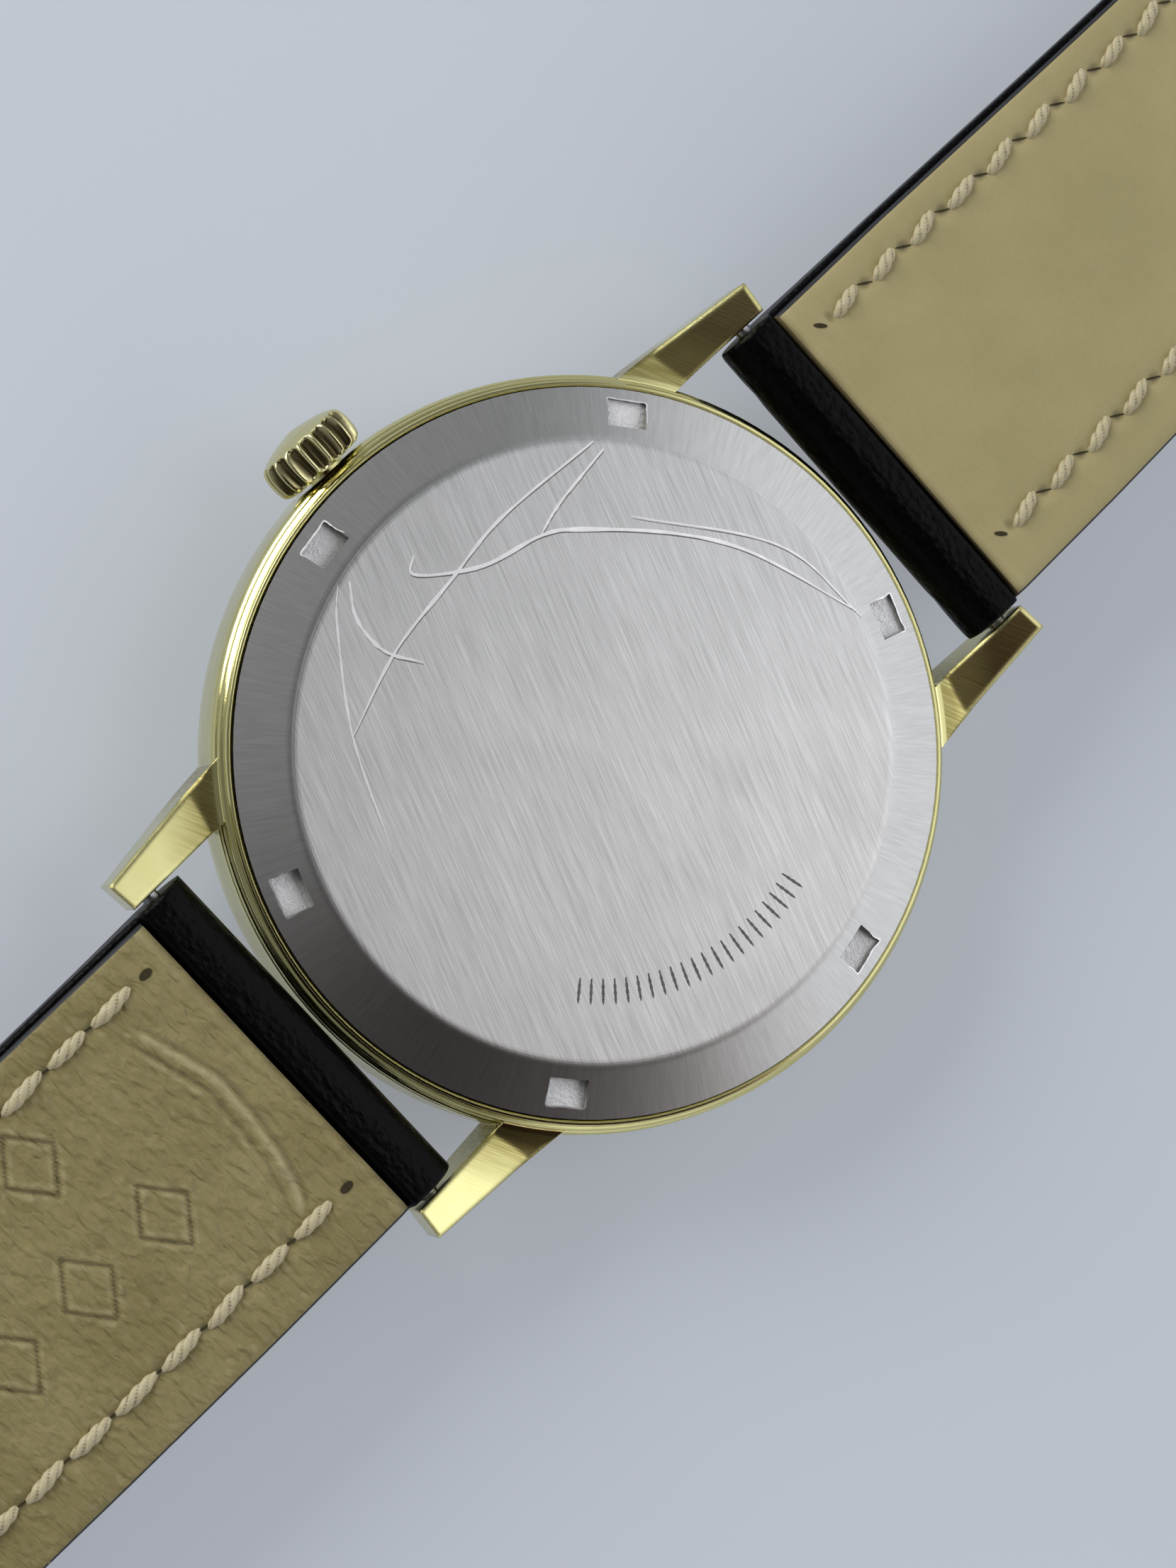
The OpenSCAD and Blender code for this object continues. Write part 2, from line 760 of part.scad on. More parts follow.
// Half width of the strap at a distance y from the case centre
function half_w(y, len) = (strap_w + (strap_end_w - strap_w) * max(0, min(1, (y - bar_y - 8) / (len - 25)))) / 2;

// Side view of a layer, from offset a to offset b under the lining's face
module layer_side(y0, y1, fall, a, b, len) {
    n = 40;
    at = function (i) y0 + (y1 - y0) * i / n;
    low = function (y) b < 0 ? thick(y, len) : b;
    polygon(concat([for (i = [0:n]) [at(i), face_z(at(i), fall) - a]],
        [for (i = [n:-1:0]) [at(i), face_z(at(i), fall) - low(at(i))]]));
}

// Plan of the strap, square at the buckle or pointed at the tip
module strap_plan(y1, len, pointed) {
    w = half_w(y1, len);
    body = pointed ? y1 - tip_round : y1;
    side = [for (y = [bar_y - 3:4:body - 1]) [half_w(y, len), y]];
    round = [for (i = [0:8]) [w * cos(i * 11.25), y1 - tip_round + tip_round * pow(sin(i * 11.25), 0.75)]];
    right = concat(side, pointed ? round : [[w, y1]]);
    polygon(concat(right, [for (i = [len(right) - 1:-1:0]) [-right[i].x, right[i].y]]));
}

// One leather layer of a strap piece
module strap_layer(y0, y1, fall, a, b, len, pointed) {
    intersection() {
        translate([-10, 0, 0]) rotate([90, 0, 90]) linear_extrude(20) layer_side(y0, y1, fall, a, b, len);
        translate([0, 0, -12]) linear_extrude(14) strap_plan(y1, len, pointed);
    }
}

// Leather roll round a bar, open at the other side of the strap
module roll(y, z, r, w) {
    rod(y, z, r, -w, w);
}

// Adjusting holes of the holed piece
module strap_holes() {
    for (i = [0:hole_count - 1]) post([0, bar_y + long_len - first_hole - i * hole_pitch], hole_r, -12, 2);
}

module strap_12_outer() {
    color([0.07, 0.07, 0.08]) difference() {
        union() {
            roll(bar_y, bar_z, roll_r, strap_w / 2);
            strap_layer(bar_y, buckle_y, short_fall, lining_t, -1, short_len, false);
            translate([-strap_w / 2, bar_y, bar_z]) cube([strap_w, lining_y - bar_y - gap, roll_r - 0.02]);
            roll(buckle_y, buckle_z, buckle_roll, strap_end_w / 2 - 0.1);
        }
        rod(bar_y, bar_z, bar_hole, -10, 10);
        rod(buckle_y, buckle_z, buckle_bar_r, -10, 10);
        // slot for the tongue
        translate([-1.1, buckle_y - 3.2, -10]) cube([2.2, 6, 9]);
    }
}

module strap_12_lining() {
    color([0.68, 0.62, 0.45]) difference() {
        strap_layer(lining_y, buckle_y - 1.4, short_fall, 0, lining_t - gap, short_len, false);
        translate([-1.1, buckle_y - 3.2, -10]) cube([2.2, 6, 9]);
    }
}

module strap_6_outer() {
    color([0.07, 0.07, 0.08]) rotate(180) difference() {
        union() {
            roll(bar_y, bar_z, roll_r, strap_w / 2);
            strap_layer(bar_y, bar_y + long_len, long_fall, lining_t, -1, long_len, true);
            translate([-strap_w / 2, bar_y, bar_z]) cube([strap_w, lining_y - bar_y - gap, roll_r - 0.02]);
        }
        rod(bar_y, bar_z, bar_hole, -10, 10);
        strap_holes();
    }
}

module strap_6_lining() {
    color([0.68, 0.62, 0.45]) rotate(180) difference() {
        strap_layer(lining_y, bar_y + long_len, long_fall, 0, lining_t - gap, long_len, true);
        strap_holes();
    }
}

// Two rows of thread on the lining's face
module stitch_rows(y0, y1, fall, len) {
    for (s = [-1, 1]) for (y = [y0:stitch_pitch:y1])
        translate([s * (half_w(y, len) - 2.2), y, face_z(y, fall) + 0.04])
            rotate([atan2(face_z(y + 1, fall) - face_z(y - 1, fall), 2), 0, 0])
                translate([-0.3, -0.85, 0]) cube([0.6, 1.7, 0.15]);
}

module strap_12_stitching() {
    color("ivory") stitch_rows(lining_y + 3, buckle_y - 14, short_fall, short_len);
}

module strap_6_stitching() {
    color("ivory") rotate(180) stitch_rows(lining_y + 3, bar_y + long_len - 12, long_fall, long_len);
}

// ---- buckle and keepers ----

module buckle_bar() {
    color("silver") rod(buckle_y, buckle_z, buckle_bar_r, -frame_w / 2 + 0.5, frame_w / 2 - 0.5);
}

// Places its child, drawn from the buckle bar's axis, at the end of the strap
module at_buckle() {
    translate([0, buckle_y, buckle_z]) rotate([buckle_tilt, 0, 0]) children();
}

module buckle_frame() {
    low = -1.25;
    color("gold") at_buckle() difference() {
        union() {
            translate([0, 0, low]) linear_extrude(frame_t) difference() {
                union() {
                    translate([-frame_w / 2, -1.2]) square([frame_w, frame_l - 2.8]);
                    translate([-frame_w / 2 + 3, 0]) square([frame_w - 6, frame_l]);
                    for (s = [-1, 1]) translate([s * (frame_w / 2 - 4), frame_l - 4]) circle(r = 4);
                }
                translate([-frame_gap / 2, -3]) square([frame_gap, frame_l + 0.6]);
            }
            for (s = [-1, 1]) rod(0, 0, 1.25, s > 0 ? frame_gap / 2 : -frame_w / 2, s > 0 ? frame_w / 2 : -frame_gap / 2);
        }
        rod(0, 0, buckle_bar_r + 0.04, -frame_w / 2 + 0.45, frame_w / 2 - 0.45);
        // seat for the tongue's point
        translate([-tongue_w / 2 - 0.15, 3, low - 1]) cube([tongue_w + 0.3, 12, 1.95]);
    }
}

module buckle_tongue() {
    color("gold") at_buckle() difference() {
        union() {
            rod(0, 0, 1.15, -tongue_w / 2, tongue_w / 2);
            translate([-tongue_w / 2, 0, -1.15]) cube([tongue_w, frame_l - 0.2, 0.8]);
        }
        rod(0, 0, buckle_bar_r + 0.04, -3, 3);
    }
}

// Leather loop round the strap, open along Y
module keeper(y) {
    w = half_w(y, short_len) + 0.25;
    top = face_z(y + keeper_w, short_fall) + 0.3;
    low = top - 0.3 - strap_end_t - keeper_room;
    color([0.07, 0.07, 0.08]) translate([0, y, 0]) difference() {
        translate([-w - keeper_t, 0, low - keeper_t]) cube([2 * (w + keeper_t), keeper_w, top - low + 2 * keeper_t]);
        translate([-w, -1, low]) cube([2 * w, keeper_w + 2, top - low]);
    }
}

module fixed_keeper() {
    keeper(fixed_keeper_y);
}

module free_keeper() {
    keeper(free_keeper_y);
}

mid_case();
crown_tube();
crystal();
tension_ring();
dial();
hour_markers();
movement_ring();
main_plate();
barrel_bridge();
train_bridge();
pallet_bridge();
balance_cock();
jewels();
bridge_screws();
case_back();
case_back_gasket();
crown_gasket();
crown();
winding_stem();
winding_pinion();
crown_wheel();
ratchet_wheel();
barrel_arbor();
click();
mainspring_barrel();
mainspring();
centre_wheel();
cannon_pinion();
minute_hand();
third_wheel();
fourth_wheel();
seconds_hand();
escape_wheel();
pallet_fork();
balance_wheel();
hairspring();
minute_wheel();
hour_wheel();
hour_hand();
spring_bar_12();
spring_bar_6();
spring_bar_12_tip_left();
spring_bar_12_tip_right();
spring_bar_6_tip_left();
spring_bar_6_tip_right();
strap_12_outer();
strap_12_lining();
strap_12_stitching();
strap_6_outer();
strap_6_lining();
strap_6_stitching();
buckle_bar();
buckle_frame();
buckle_tongue();
fixed_keeper();
free_keeper();
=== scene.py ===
"""Round dress wristwatch on a stitched leather strap, lying on its crystal with the case back up.

Lengths in this file are millimetres in the part's own frame, and mesh_of turns them to metres.
"""
import json
import math

import bmesh
import bpy
import numpy as np
from mathutils import Matrix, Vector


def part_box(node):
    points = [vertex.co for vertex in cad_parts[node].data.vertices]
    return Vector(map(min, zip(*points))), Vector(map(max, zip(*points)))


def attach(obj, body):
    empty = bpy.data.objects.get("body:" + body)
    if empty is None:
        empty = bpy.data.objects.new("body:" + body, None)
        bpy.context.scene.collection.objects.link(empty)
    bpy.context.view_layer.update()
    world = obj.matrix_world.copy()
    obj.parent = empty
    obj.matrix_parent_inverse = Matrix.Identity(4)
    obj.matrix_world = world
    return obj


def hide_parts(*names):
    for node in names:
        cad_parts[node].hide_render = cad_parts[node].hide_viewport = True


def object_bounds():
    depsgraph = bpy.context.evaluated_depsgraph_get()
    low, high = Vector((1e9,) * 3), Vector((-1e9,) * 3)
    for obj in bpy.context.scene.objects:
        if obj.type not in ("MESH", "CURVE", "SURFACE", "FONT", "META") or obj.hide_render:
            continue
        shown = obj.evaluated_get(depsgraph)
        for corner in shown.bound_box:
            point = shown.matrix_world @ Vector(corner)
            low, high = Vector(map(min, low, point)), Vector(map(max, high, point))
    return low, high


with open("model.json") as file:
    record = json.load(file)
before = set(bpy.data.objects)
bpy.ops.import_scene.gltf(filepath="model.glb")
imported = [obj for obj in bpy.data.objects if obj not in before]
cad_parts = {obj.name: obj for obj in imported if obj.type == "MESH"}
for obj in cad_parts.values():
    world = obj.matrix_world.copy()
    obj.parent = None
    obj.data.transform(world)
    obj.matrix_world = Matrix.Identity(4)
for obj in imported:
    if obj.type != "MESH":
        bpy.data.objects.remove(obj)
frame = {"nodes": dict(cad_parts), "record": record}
CAD_LOW, CAD_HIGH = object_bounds()
MM = 0.001
FLOOR = CAD_LOW.z / MM

# ---- the strap's own measures, as the CAD part has them ----
BAR_Y, BAR_Z, ROLL_R = 18.6, -1.95, 1.5
ROLL_TOP = BAR_Z + ROLL_R
LINING_Y, LINING_T = 19.85, 0.7
STITCH_PITCH, STITCH_IN, THREAD_R = 2.6, 2.2, 0.335
HALF_ROOT = 8.7
HOLE_R, NOTCH_R = 0.9, 15.06
ROW_X = (-6.75, 5.9)
SHORT = {"length": 75.0, "fall": (38.0, 70.0, -4.0), "stitches": (22.7, 79.7), "first_hole": 21.02,
         "half_stitch": 1.04}
LONG = {"length": 115.0, "fall": (28.0, 105.0, FLOOR + 2.15), "stitches": (23.2, 121.7), "first_hole": 21.2,
        "half_stitch": 1.22}
BUCKLE_Y, BUCKLE_Z, BUCKLE_ROLL = 93.6, -5.45, 1.35
HOLES = [105.6 - 6.5 * i for i in range(7)]
FLUTES = 18
FLAT_R, CHAMFER_SLOPE = 13.81, 0.3305
TABLE_R = 1500
AROUND, HORIZON = 0.21, 0.56
BELT, SHINE = math.radians(161), math.radians(71)
WHITE_SKY, WARM_SHADE = "#f7f9ff", "#d9a591"


# ---- small tools ----
def linear(code):
    """An sRGB hex colour as linear red, green and blue, with alpha 1."""
    c = np.array([int(code[i:i + 2], 16) for i in (1, 3, 5)]) / 255
    c = np.where(c <= 0.04045, c / 12.92, ((c + 0.055) / 1.055) ** 2.4)
    return (*c.tolist(), 1.0)


def add(tree, kind, inputs=None, out=0, **settings):
    """Adds a node with its settings, sets or links its inputs, and returns one of its outputs."""
    made = tree.nodes.new("ShaderNode" + kind)
    for name, value in settings.items():
        setattr(made, name, value)
    for key, value in (inputs or {}).items():
        if isinstance(value, bpy.types.NodeSocket):
            tree.links.new(value, made.inputs[key])
        else:
            made.inputs[key].default_value = value
    return made.outputs[out]


def begin(name, colour, roughness, metallic=0.0, **sockets):
    """A new material, its node tree, its one Principled shader, and its Object coordinates in millimetres."""
    material = bpy.data.materials.new(name)
    material.use_nodes = True
    tree = material.node_tree
    shader = tree.nodes["Principled BSDF"]
    shader.inputs["Base Color"].default_value = linear(colour)
    shader.inputs["Roughness"].default_value = roughness
    shader.inputs["Metallic"].default_value = metallic
    for key, value in sockets.items():
        shader.inputs[key.replace("_", " ")].default_value = value
    place = add(tree, "Mapping", {"Vector": add(tree, "TexCoord", out="Object"), "Scale": (1000, 1000, 1000)})
    return material, tree, shader, place


def feed(shader, **outputs):
    """Links the outputs of nodes to the shader's own sockets."""
    for key, output in outputs.items():
        shader.id_data.links.new(output, shader.inputs[key.replace("_", " ")])


def mesh_of(name, points, faces, material, recalc=True):
    """A smooth mesh object from points in millimetres and faces, joined up and with its normals outwards if recalc."""
    mesh = bpy.data.meshes.new(name)
    listed = faces if isinstance(faces, list) else faces.tolist()
    mesh.from_pydata((np.asarray(points, float).reshape(-1, 3) * MM).tolist(), [], listed)
    if recalc:
        work = bmesh.new()
        work.from_mesh(mesh)
        bmesh.ops.remove_doubles(work, verts=work.verts, dist=1e-7)
        bmesh.ops.recalc_face_normals(work, faces=work.faces)
        work.to_mesh(mesh)
        work.free()
    mesh.polygons.foreach_set("use_smooth", [True] * len(mesh.polygons))
    piece = bpy.data.objects.new(name, mesh)
    bpy.context.scene.collection.objects.link(piece)
    for m in material if isinstance(material, list) else [material]:
        mesh.materials.append(m)
    return piece


def solid_of(name, rings, material):
    """A closed solid from rings of points, joined in order, with its first and last ring filled."""
    rings = np.asarray(rings, float)
    rows, columns = rings.shape[:2]
    caps = [list(range(columns)), list(range((rows - 1) * columns, rows * columns))]
    return mesh_of(name, rings, quads(rows, columns, round_columns=True).tolist() + caps, material)


def prism(outline, low, high):
    """The outline at two heights, as rings for solid_of."""
    return np.stack([np.column_stack([outline, np.full(len(outline), z)]) for z in (low, high)])


def quads(rows, columns, round_rows=False, round_columns=False):
    """Faces of a grid of points, row by row, that may close on itself either way."""
    r = np.arange(rows if round_rows else rows - 1)[:, None]
    c = np.arange(columns if round_columns else columns - 1)[None, :]
    a, b = r * columns, (r + 1) % rows * columns
    d = (c + 1) % columns
    return np.stack([a + c, a + d, b + d, b + c], -1).reshape(-1, 4)


def vertices_of(piece):
    """The piece's vertices, in millimetres."""
    at = np.empty(len(piece.data.vertices) * 3, np.float32)
    piece.data.vertices.foreach_get("co", at)
    return at.reshape(-1, 3) / MM


def give(piece, name, values):
    """Stores one number at each vertex."""
    layer = piece.data.attributes.new(name, "FLOAT", "POINT")
    layer.data.foreach_set("value", values.astype(np.float32))


def ease(t):
    """Smooth step from 0 to 1."""
    u = np.clip(t, 0, 1)
    return u * u * (3 - 2 * u)


def bump_of(x, middle, width):
    """A bell of height 1 about the middle: e to the minus square of the distance over the width."""
    return np.exp(-(((x - middle) / width) ** 2))


def waves(x, y, seed, size, count=14):
    """Smooth relief, mostly within 1.4 of 0: sine waves of random direction and phase, and of lengths near size,
    summed and divided by the root of their count."""
    rng = np.random.default_rng(seed)
    total = 0
    angles, lengths = rng.uniform(0, np.pi, count), size * rng.uniform(0.6, 1.7, count)
    for angle, length, phase in zip(angles, lengths, rng.uniform(0, 2 * np.pi, count)):
        total = total + np.sin(2 * np.pi * (x * np.cos(angle) + y * np.sin(angle)) / length + phase)
    return total / np.sqrt(count)


def cut(piece, tool):
    """Takes the tool's volume out of the piece."""
    step = piece.modifiers.new("cut", "BOOLEAN")
    step.object, step.solver = tool, "EXACT"
    result = bpy.data.meshes.new_from_object(piece.evaluated_get(bpy.context.evaluated_depsgraph_get()))
    piece.modifiers.clear()
    piece.data = result


# ---- strap shape ----
def face_z(y, strap):
    """Height of the lining's face: level near the case, then a smooth fall to the surface the watch lies on."""
    start, end, low = strap["fall"]
    return ROLL_TOP + (low - ROLL_TOP) * ease((y - start) / (end - start))


def thick(y, strap):
    """Thickness of the strap, thinning from 2.6 to 2.1."""
    return 2.6 - 0.5 * ease((y - BAR_Y) / (strap["length"] - 20))


def half_w(y, strap):
    """Half the strap's width, tapering from 17.4 to 15.8."""
    return (2 * HALF_ROOT - 1.6 * np.clip((y - BAR_Y - 8) / (strap["length"] - 25), 0, 1)) / 2


def tip_w(y, strap):
    """Half width with the rounded tip of the holed piece: over the last 9 it falls as the root of 1 less t to the
    power 2.6, where t grows from 0 to 1."""
    end = BAR_Y + strap["length"]
    t = np.clip((y - end + 9) / 9, 0, 1)
    return half_w(y, strap) * np.sqrt(np.clip(1 - np.power(t, 2.6), 0, 1))


def turned(points, strap):
    """Turns a shape drawn on the buckle side half a turn round the case axis for the holed piece."""
    return points * np.array([-1, -1, 1]) if strap is LONG else points


def section(x_half, top, low, r_top, r_low, lift, groove_x):
    """Outline across the strap at each station: a flat top, rounded corners, and a padded lower face. The lower
    face's height is low plus lift times the fourth power of x over the half width, with a sewn channel at groove_x."""
    w = x_half[:, None]
    u = np.linspace(-1, 1, 26)[None, :]
    arc = np.linspace(0, np.pi / 2, 5)[None, :]
    top, low = top[:, None], low[:, None]
    r_top = np.minimum(r_top, w * 0.9)
    r_low = np.minimum(r_low, w * 0.9)
    bottom_x = u * (w - r_low)
    pad = low + lift * np.abs(u) ** 4 + 0.16 * bump_of(np.abs(bottom_x), groove_x[:, None], 0.3) * (w > 4)
    edge_low = low + lift
    right_low = np.stack([w - r_low + r_low * np.sin(arc), edge_low + r_low - r_low * np.cos(arc)], -1)
    right_top = np.stack([w - r_top + r_top * np.cos(arc), top - r_top + r_top * np.sin(arc)], -1)
    top_x = -u * (w - r_top)
    upper = np.stack([top_x, top + 0 * top_x], -1)
    lower = np.stack([bottom_x, pad], -1)
    left_top = right_top[:, ::-1] * np.array([-1, 1])
    left_low = right_low[:, ::-1] * np.array([-1, 1])
    return np.concatenate([lower, right_low, right_top, upper, left_top, left_low], 1)


def strap_outer(name, strap, material):
    """The calf outside of one strap piece, as outlines carried along its length.
    Over the spring bar the top and bottom follow a circle of radius 1.5, then the top steps down under the lining."""
    turn = np.linspace(0.04, np.pi / 2, 12)
    nose = BAR_Y - ROLL_R * np.cos(turn)
    end = BUCKLE_Y if strap is SHORT else BAR_Y + strap["length"] - 0.02
    along = np.concatenate([np.linspace(18.75, 19.55, 5), [19.68, 19.76, 19.82, 19.9],
        np.linspace(20.2, end, 220 if strap is LONG else 150)])
    y = np.concatenate([nose, along])
    roll = np.concatenate([ROLL_R * np.sin(turn), np.full(len(along), ROLL_R)])
    seat = face_z(y, strap) - LINING_T
    step = ease((y - 19.5) / 0.32)
    top = np.where(y < BAR_Y, BAR_Z + roll, ROLL_TOP * (1 - step) + seat * step)
    flat = face_z(y, strap) - thick(y, strap)
    leave = ease((y - BAR_Y) / 3.5)
    low = np.where(y < BAR_Y, BAR_Z - roll, (BAR_Z - ROLL_R) * (1 - leave) + flat * leave)
    lift = (0.55 * ease((y - 20) / 6))[:, None]
    width = tip_w(y, strap) if strap is LONG else half_w(y, strap)
    if strap is SHORT:
        # the far end closes on the roll round the buckle bar
        turn = np.linspace(np.pi / 2, 0.04, 12)[1:]
        y = np.concatenate([y, BUCKLE_Y + BUCKLE_ROLL * np.cos(turn)])
        join = ease((y - (BUCKLE_Y - 3)) / 3)
        height = np.concatenate([np.zeros(len(top)), BUCKLE_ROLL * np.sin(turn)])
        more = np.full(len(turn), BUCKLE_Z)
        top = np.concatenate([top, more])
        low = np.concatenate([low, more])
        reach = np.where(y > BUCKLE_Y, height, BUCKLE_ROLL)
        top = top * (1 - join) + (BUCKLE_Z + reach) * join
        low = low * (1 - join) + (BUCKLE_Z - reach) * join
        lift = np.concatenate([lift, np.repeat(lift[-1:], len(turn), 0)]) * (1 - join[:, None])
        width = np.concatenate([width, np.full(len(turn), width[-1])])
    gap = (top - low)[:, None] / 2
    outline = section(width, top, low, np.minimum(0.22, gap * 0.9), np.minimum(0.4, gap * 0.9 - lift * 0.3), lift,
        half_w(y, strap) - STITCH_IN)
    station = np.repeat(y[:, None, None], outline.shape[1], 1)
    points = np.concatenate([outline[..., :1], station, outline[..., 1:]], -1)
    return solid_of(name, turned(points, strap), material)


def relief(x, y, strap):
    """How far the lining's face stands above its plain height: a sunken stitch channel that dips at each hole,
    slow waviness, and on the holed piece the pad's edge, creases and a row of plain debossed lozenges."""
    start, end = strap["stitches"]
    left, right = rows_x(y, strap)
    row = bump_of(x, left, 0.42) + bump_of(x, right, 0.42)
    inside = ease((y - start + 1.6) / 0.8) * ease((end + 2 - y) / 0.8)
    dip = 0.5 + 0.5 * np.cos(2 * np.pi * (y - start - STITCH_PITCH / 2) / STITCH_PITCH)
    z = -inside * row * (0.05 + 0.08 * dip ** 4)
    z += 0.012 * waves(x, y, 3, 4.5) + 0.005 * waves(x, y, 4, 1.3)
    # the cut end and the long edges are pared down a little
    end_cut = bump_of(y, LINING_Y + 0.04 * waves(x, 0 * y, 8, 2.2), 0.28)
    z -= 0.09 * end_cut + 0.10 * bump_of(np.abs(x), half_w(y, strap), 0.5)
    if strap is LONG:
        pad = 21.8 + 1.15 * np.abs(x / 5.2) ** 2.2 + 0.05 * waves(x, 0 * y, 12, 3)
        inner = y - pad
        near = ease((5.9 - np.abs(x)) / 1.2)
        fade = ease((30 - y) / 7) * near
        z += 0.07 * (ease(inner / 0.3) - 1) * near * ease((24.2 - y) / 1.2)
        z += 0.045 * bump_of(inner, 0.38, 0.24) * near - 0.035 * bump_of(inner, 0.9, 0.14) * fade
        ripple = np.sin(2 * np.pi * (inner + 0.22 * waves(x, y, 9, 5)) / 0.8)
        z += fade * ease((inner - 0.9) / 0.3) * 0.018 * ripple * np.exp(-np.clip(inner - 0.9, 0, 9) / 1.4)
        z += 0.007 * waves(x * 0.7, y * 1.3, 11, 0.6, 30) * ease(inner / 0.5)
        z += lozenges(x, y)
    return z


def rows_x(y, strap):
    """X of the two stitch rows, a little off the strap's middle, drawn together by its taper."""
    draw = half_w(y, strap) - HALF_ROOT
    low, high = (ROW_X[0], ROW_X[1]) if strap is SHORT else (-ROW_X[1], -ROW_X[0])
    return low - draw, high + draw


def lozenges(x, y):
    """Two rows of plain debossed lozenge outlines: a groove where |x|/1.75 + |y|/1.35 is near 1 about each centre."""
    z, step = 0, 4.4
    for middle, first, last in ((-1.2, 27.6, 74), (4.3, 30.2, 71)):
        k = np.clip(np.round((y - first) / step), 0, round((last - first) / step))
        d = np.abs(x - middle) / 1.75 + np.abs(y - first - k * step) / 1.35
        z = z - 0.075 * bump_of(d, 1, 0.085)
    return z


def lining(name, strap, materials):
    """The lining of one strap piece: a skin with the relief on its face, rounded long edges, and a flat underside."""
    end = BUCKLE_Y - 1.4 if strap is SHORT else BAR_Y + strap["length"] - 0.05
    y = np.concatenate([[LINING_Y, LINING_Y + 0.03, LINING_Y + 0.1], np.arange(LINING_Y + 0.25, 46, 0.13),
        np.arange(46, end, 0.26), [end]])
    fine = np.linspace(-0.9, 0.9, 15)
    r0 = HALF_ROOT - STITCH_IN
    share = np.concatenate([[0.0], np.linspace(0.13, r0 - 1.02, 40), r0 + fine,
        np.linspace(r0 + 1.05, HALF_ROOT - 0.28, 7)]) / HALF_ROOT
    share = np.concatenate([-share[:0:-1], share])
    width = (tip_w(y, strap) if strap is LONG else half_w(y, strap))[:, None] * 0.978
    arc = np.linspace(np.pi / 2, 0, 5)[1:]
    bent = width - 0.2 + 0.2 * np.cos(arc)[None, :]
    x = np.concatenate([-bent[:, ::-1], share[None, :] * width, bent], 1)
    shift = 0.09 if strap is SHORT else -0.09
    x = x + shift * np.clip(width / 3, 0, 1)
    round_off = 0.2 * (1 - np.sin(arc))
    drop = np.concatenate([round_off[::-1], 0 * share, round_off])[None, :]
    yy = y[:, None] + 0 * x
    base = face_z(yy, strap)
    upper = np.stack([x, yy, base + relief(x, yy, strap) - drop], -1)
    rows, columns = x.shape
    n = rows * columns
    # the underside is one flat strip between two edge lines
    under = np.stack([x[:, [0, -1]], yy[:, [0, -1]], base[:, [0, -1]] - LINING_T + 0.01], -1)
    r = np.arange(rows - 1)
    left, right = n + 2 * r, n + 2 * r + 1
    faces = quads(rows, columns).tolist()
    faces += np.stack([r * columns, (r + 1) * columns, left + 2, left], -1).tolist()
    faces += np.stack([(r + 1) * columns - 1, right, right + 2, (r + 2) * columns - 1], -1).tolist()
    faces += np.stack([left, left + 2, right + 2, right], -1).tolist()
    first_row, last_row = list(range(columns)), list(range(n - columns, n))
    faces += [first_row + [n + 1, n], last_row + [n + 2 * rows - 1, n + 2 * rows - 2]]
    points = turned(np.concatenate([upper.reshape(-1, 3), under.reshape(-1, 3)]), strap)
    piece = mesh_of(name, points, faces, materials)
    # how far each point stands above its surroundings, for the painted highlight on ridges and the painted shade in
    # creases
    x, y = turned(vertices_of(piece), strap).T[:2]
    near = [relief(x + 0.3 * math.cos(k), y + 0.3 * math.sin(k), strap) for k in np.arange(6) * math.pi / 3]
    give(piece, "stand", relief(x, y, strap) - np.mean(near, 0))

    def slot_of(middle, normal):
        """Edge paint on the long sides, cut leather at the end by the roll, and the lining's own material elsewhere."""
        cut_end = (np.abs(middle[:, 1]) < LINING_Y + 0.02) & (normal[:, 2] < 0.5)
        return np.where(np.abs(normal[:, 0]) > 0.6, 1, np.where(cut_end, 2, 0))

    paint(piece, slot_of)
    return piece


def paint(piece, choose):
    """Gives each face its material slot, from its middle in millimetres and its normal."""
    count = len(piece.data.polygons)
    middle, normal = np.empty(count * 3), np.empty(count * 3)
    piece.data.polygons.foreach_get("center", middle)
    piece.data.polygons.foreach_get("normal", normal)
    slots = choose(middle.reshape(-1, 3) / MM, normal.reshape(-1, 3))
    piece.data.polygons.foreach_set("material_index", slots.astype(np.int32))


def stitch_places(strap):
    """Middle of each stitch: x, y, height and slope of the leather."""
    start, end = strap["stitches"]
    y = np.arange(start, end, STITCH_PITCH)
    slope = face_z(y + 0.5, strap) - face_z(y - 0.5, strap)
    return np.concatenate([np.stack([x, y, face_z(y, strap), slope], -1) for x in rows_x(y, strap)])


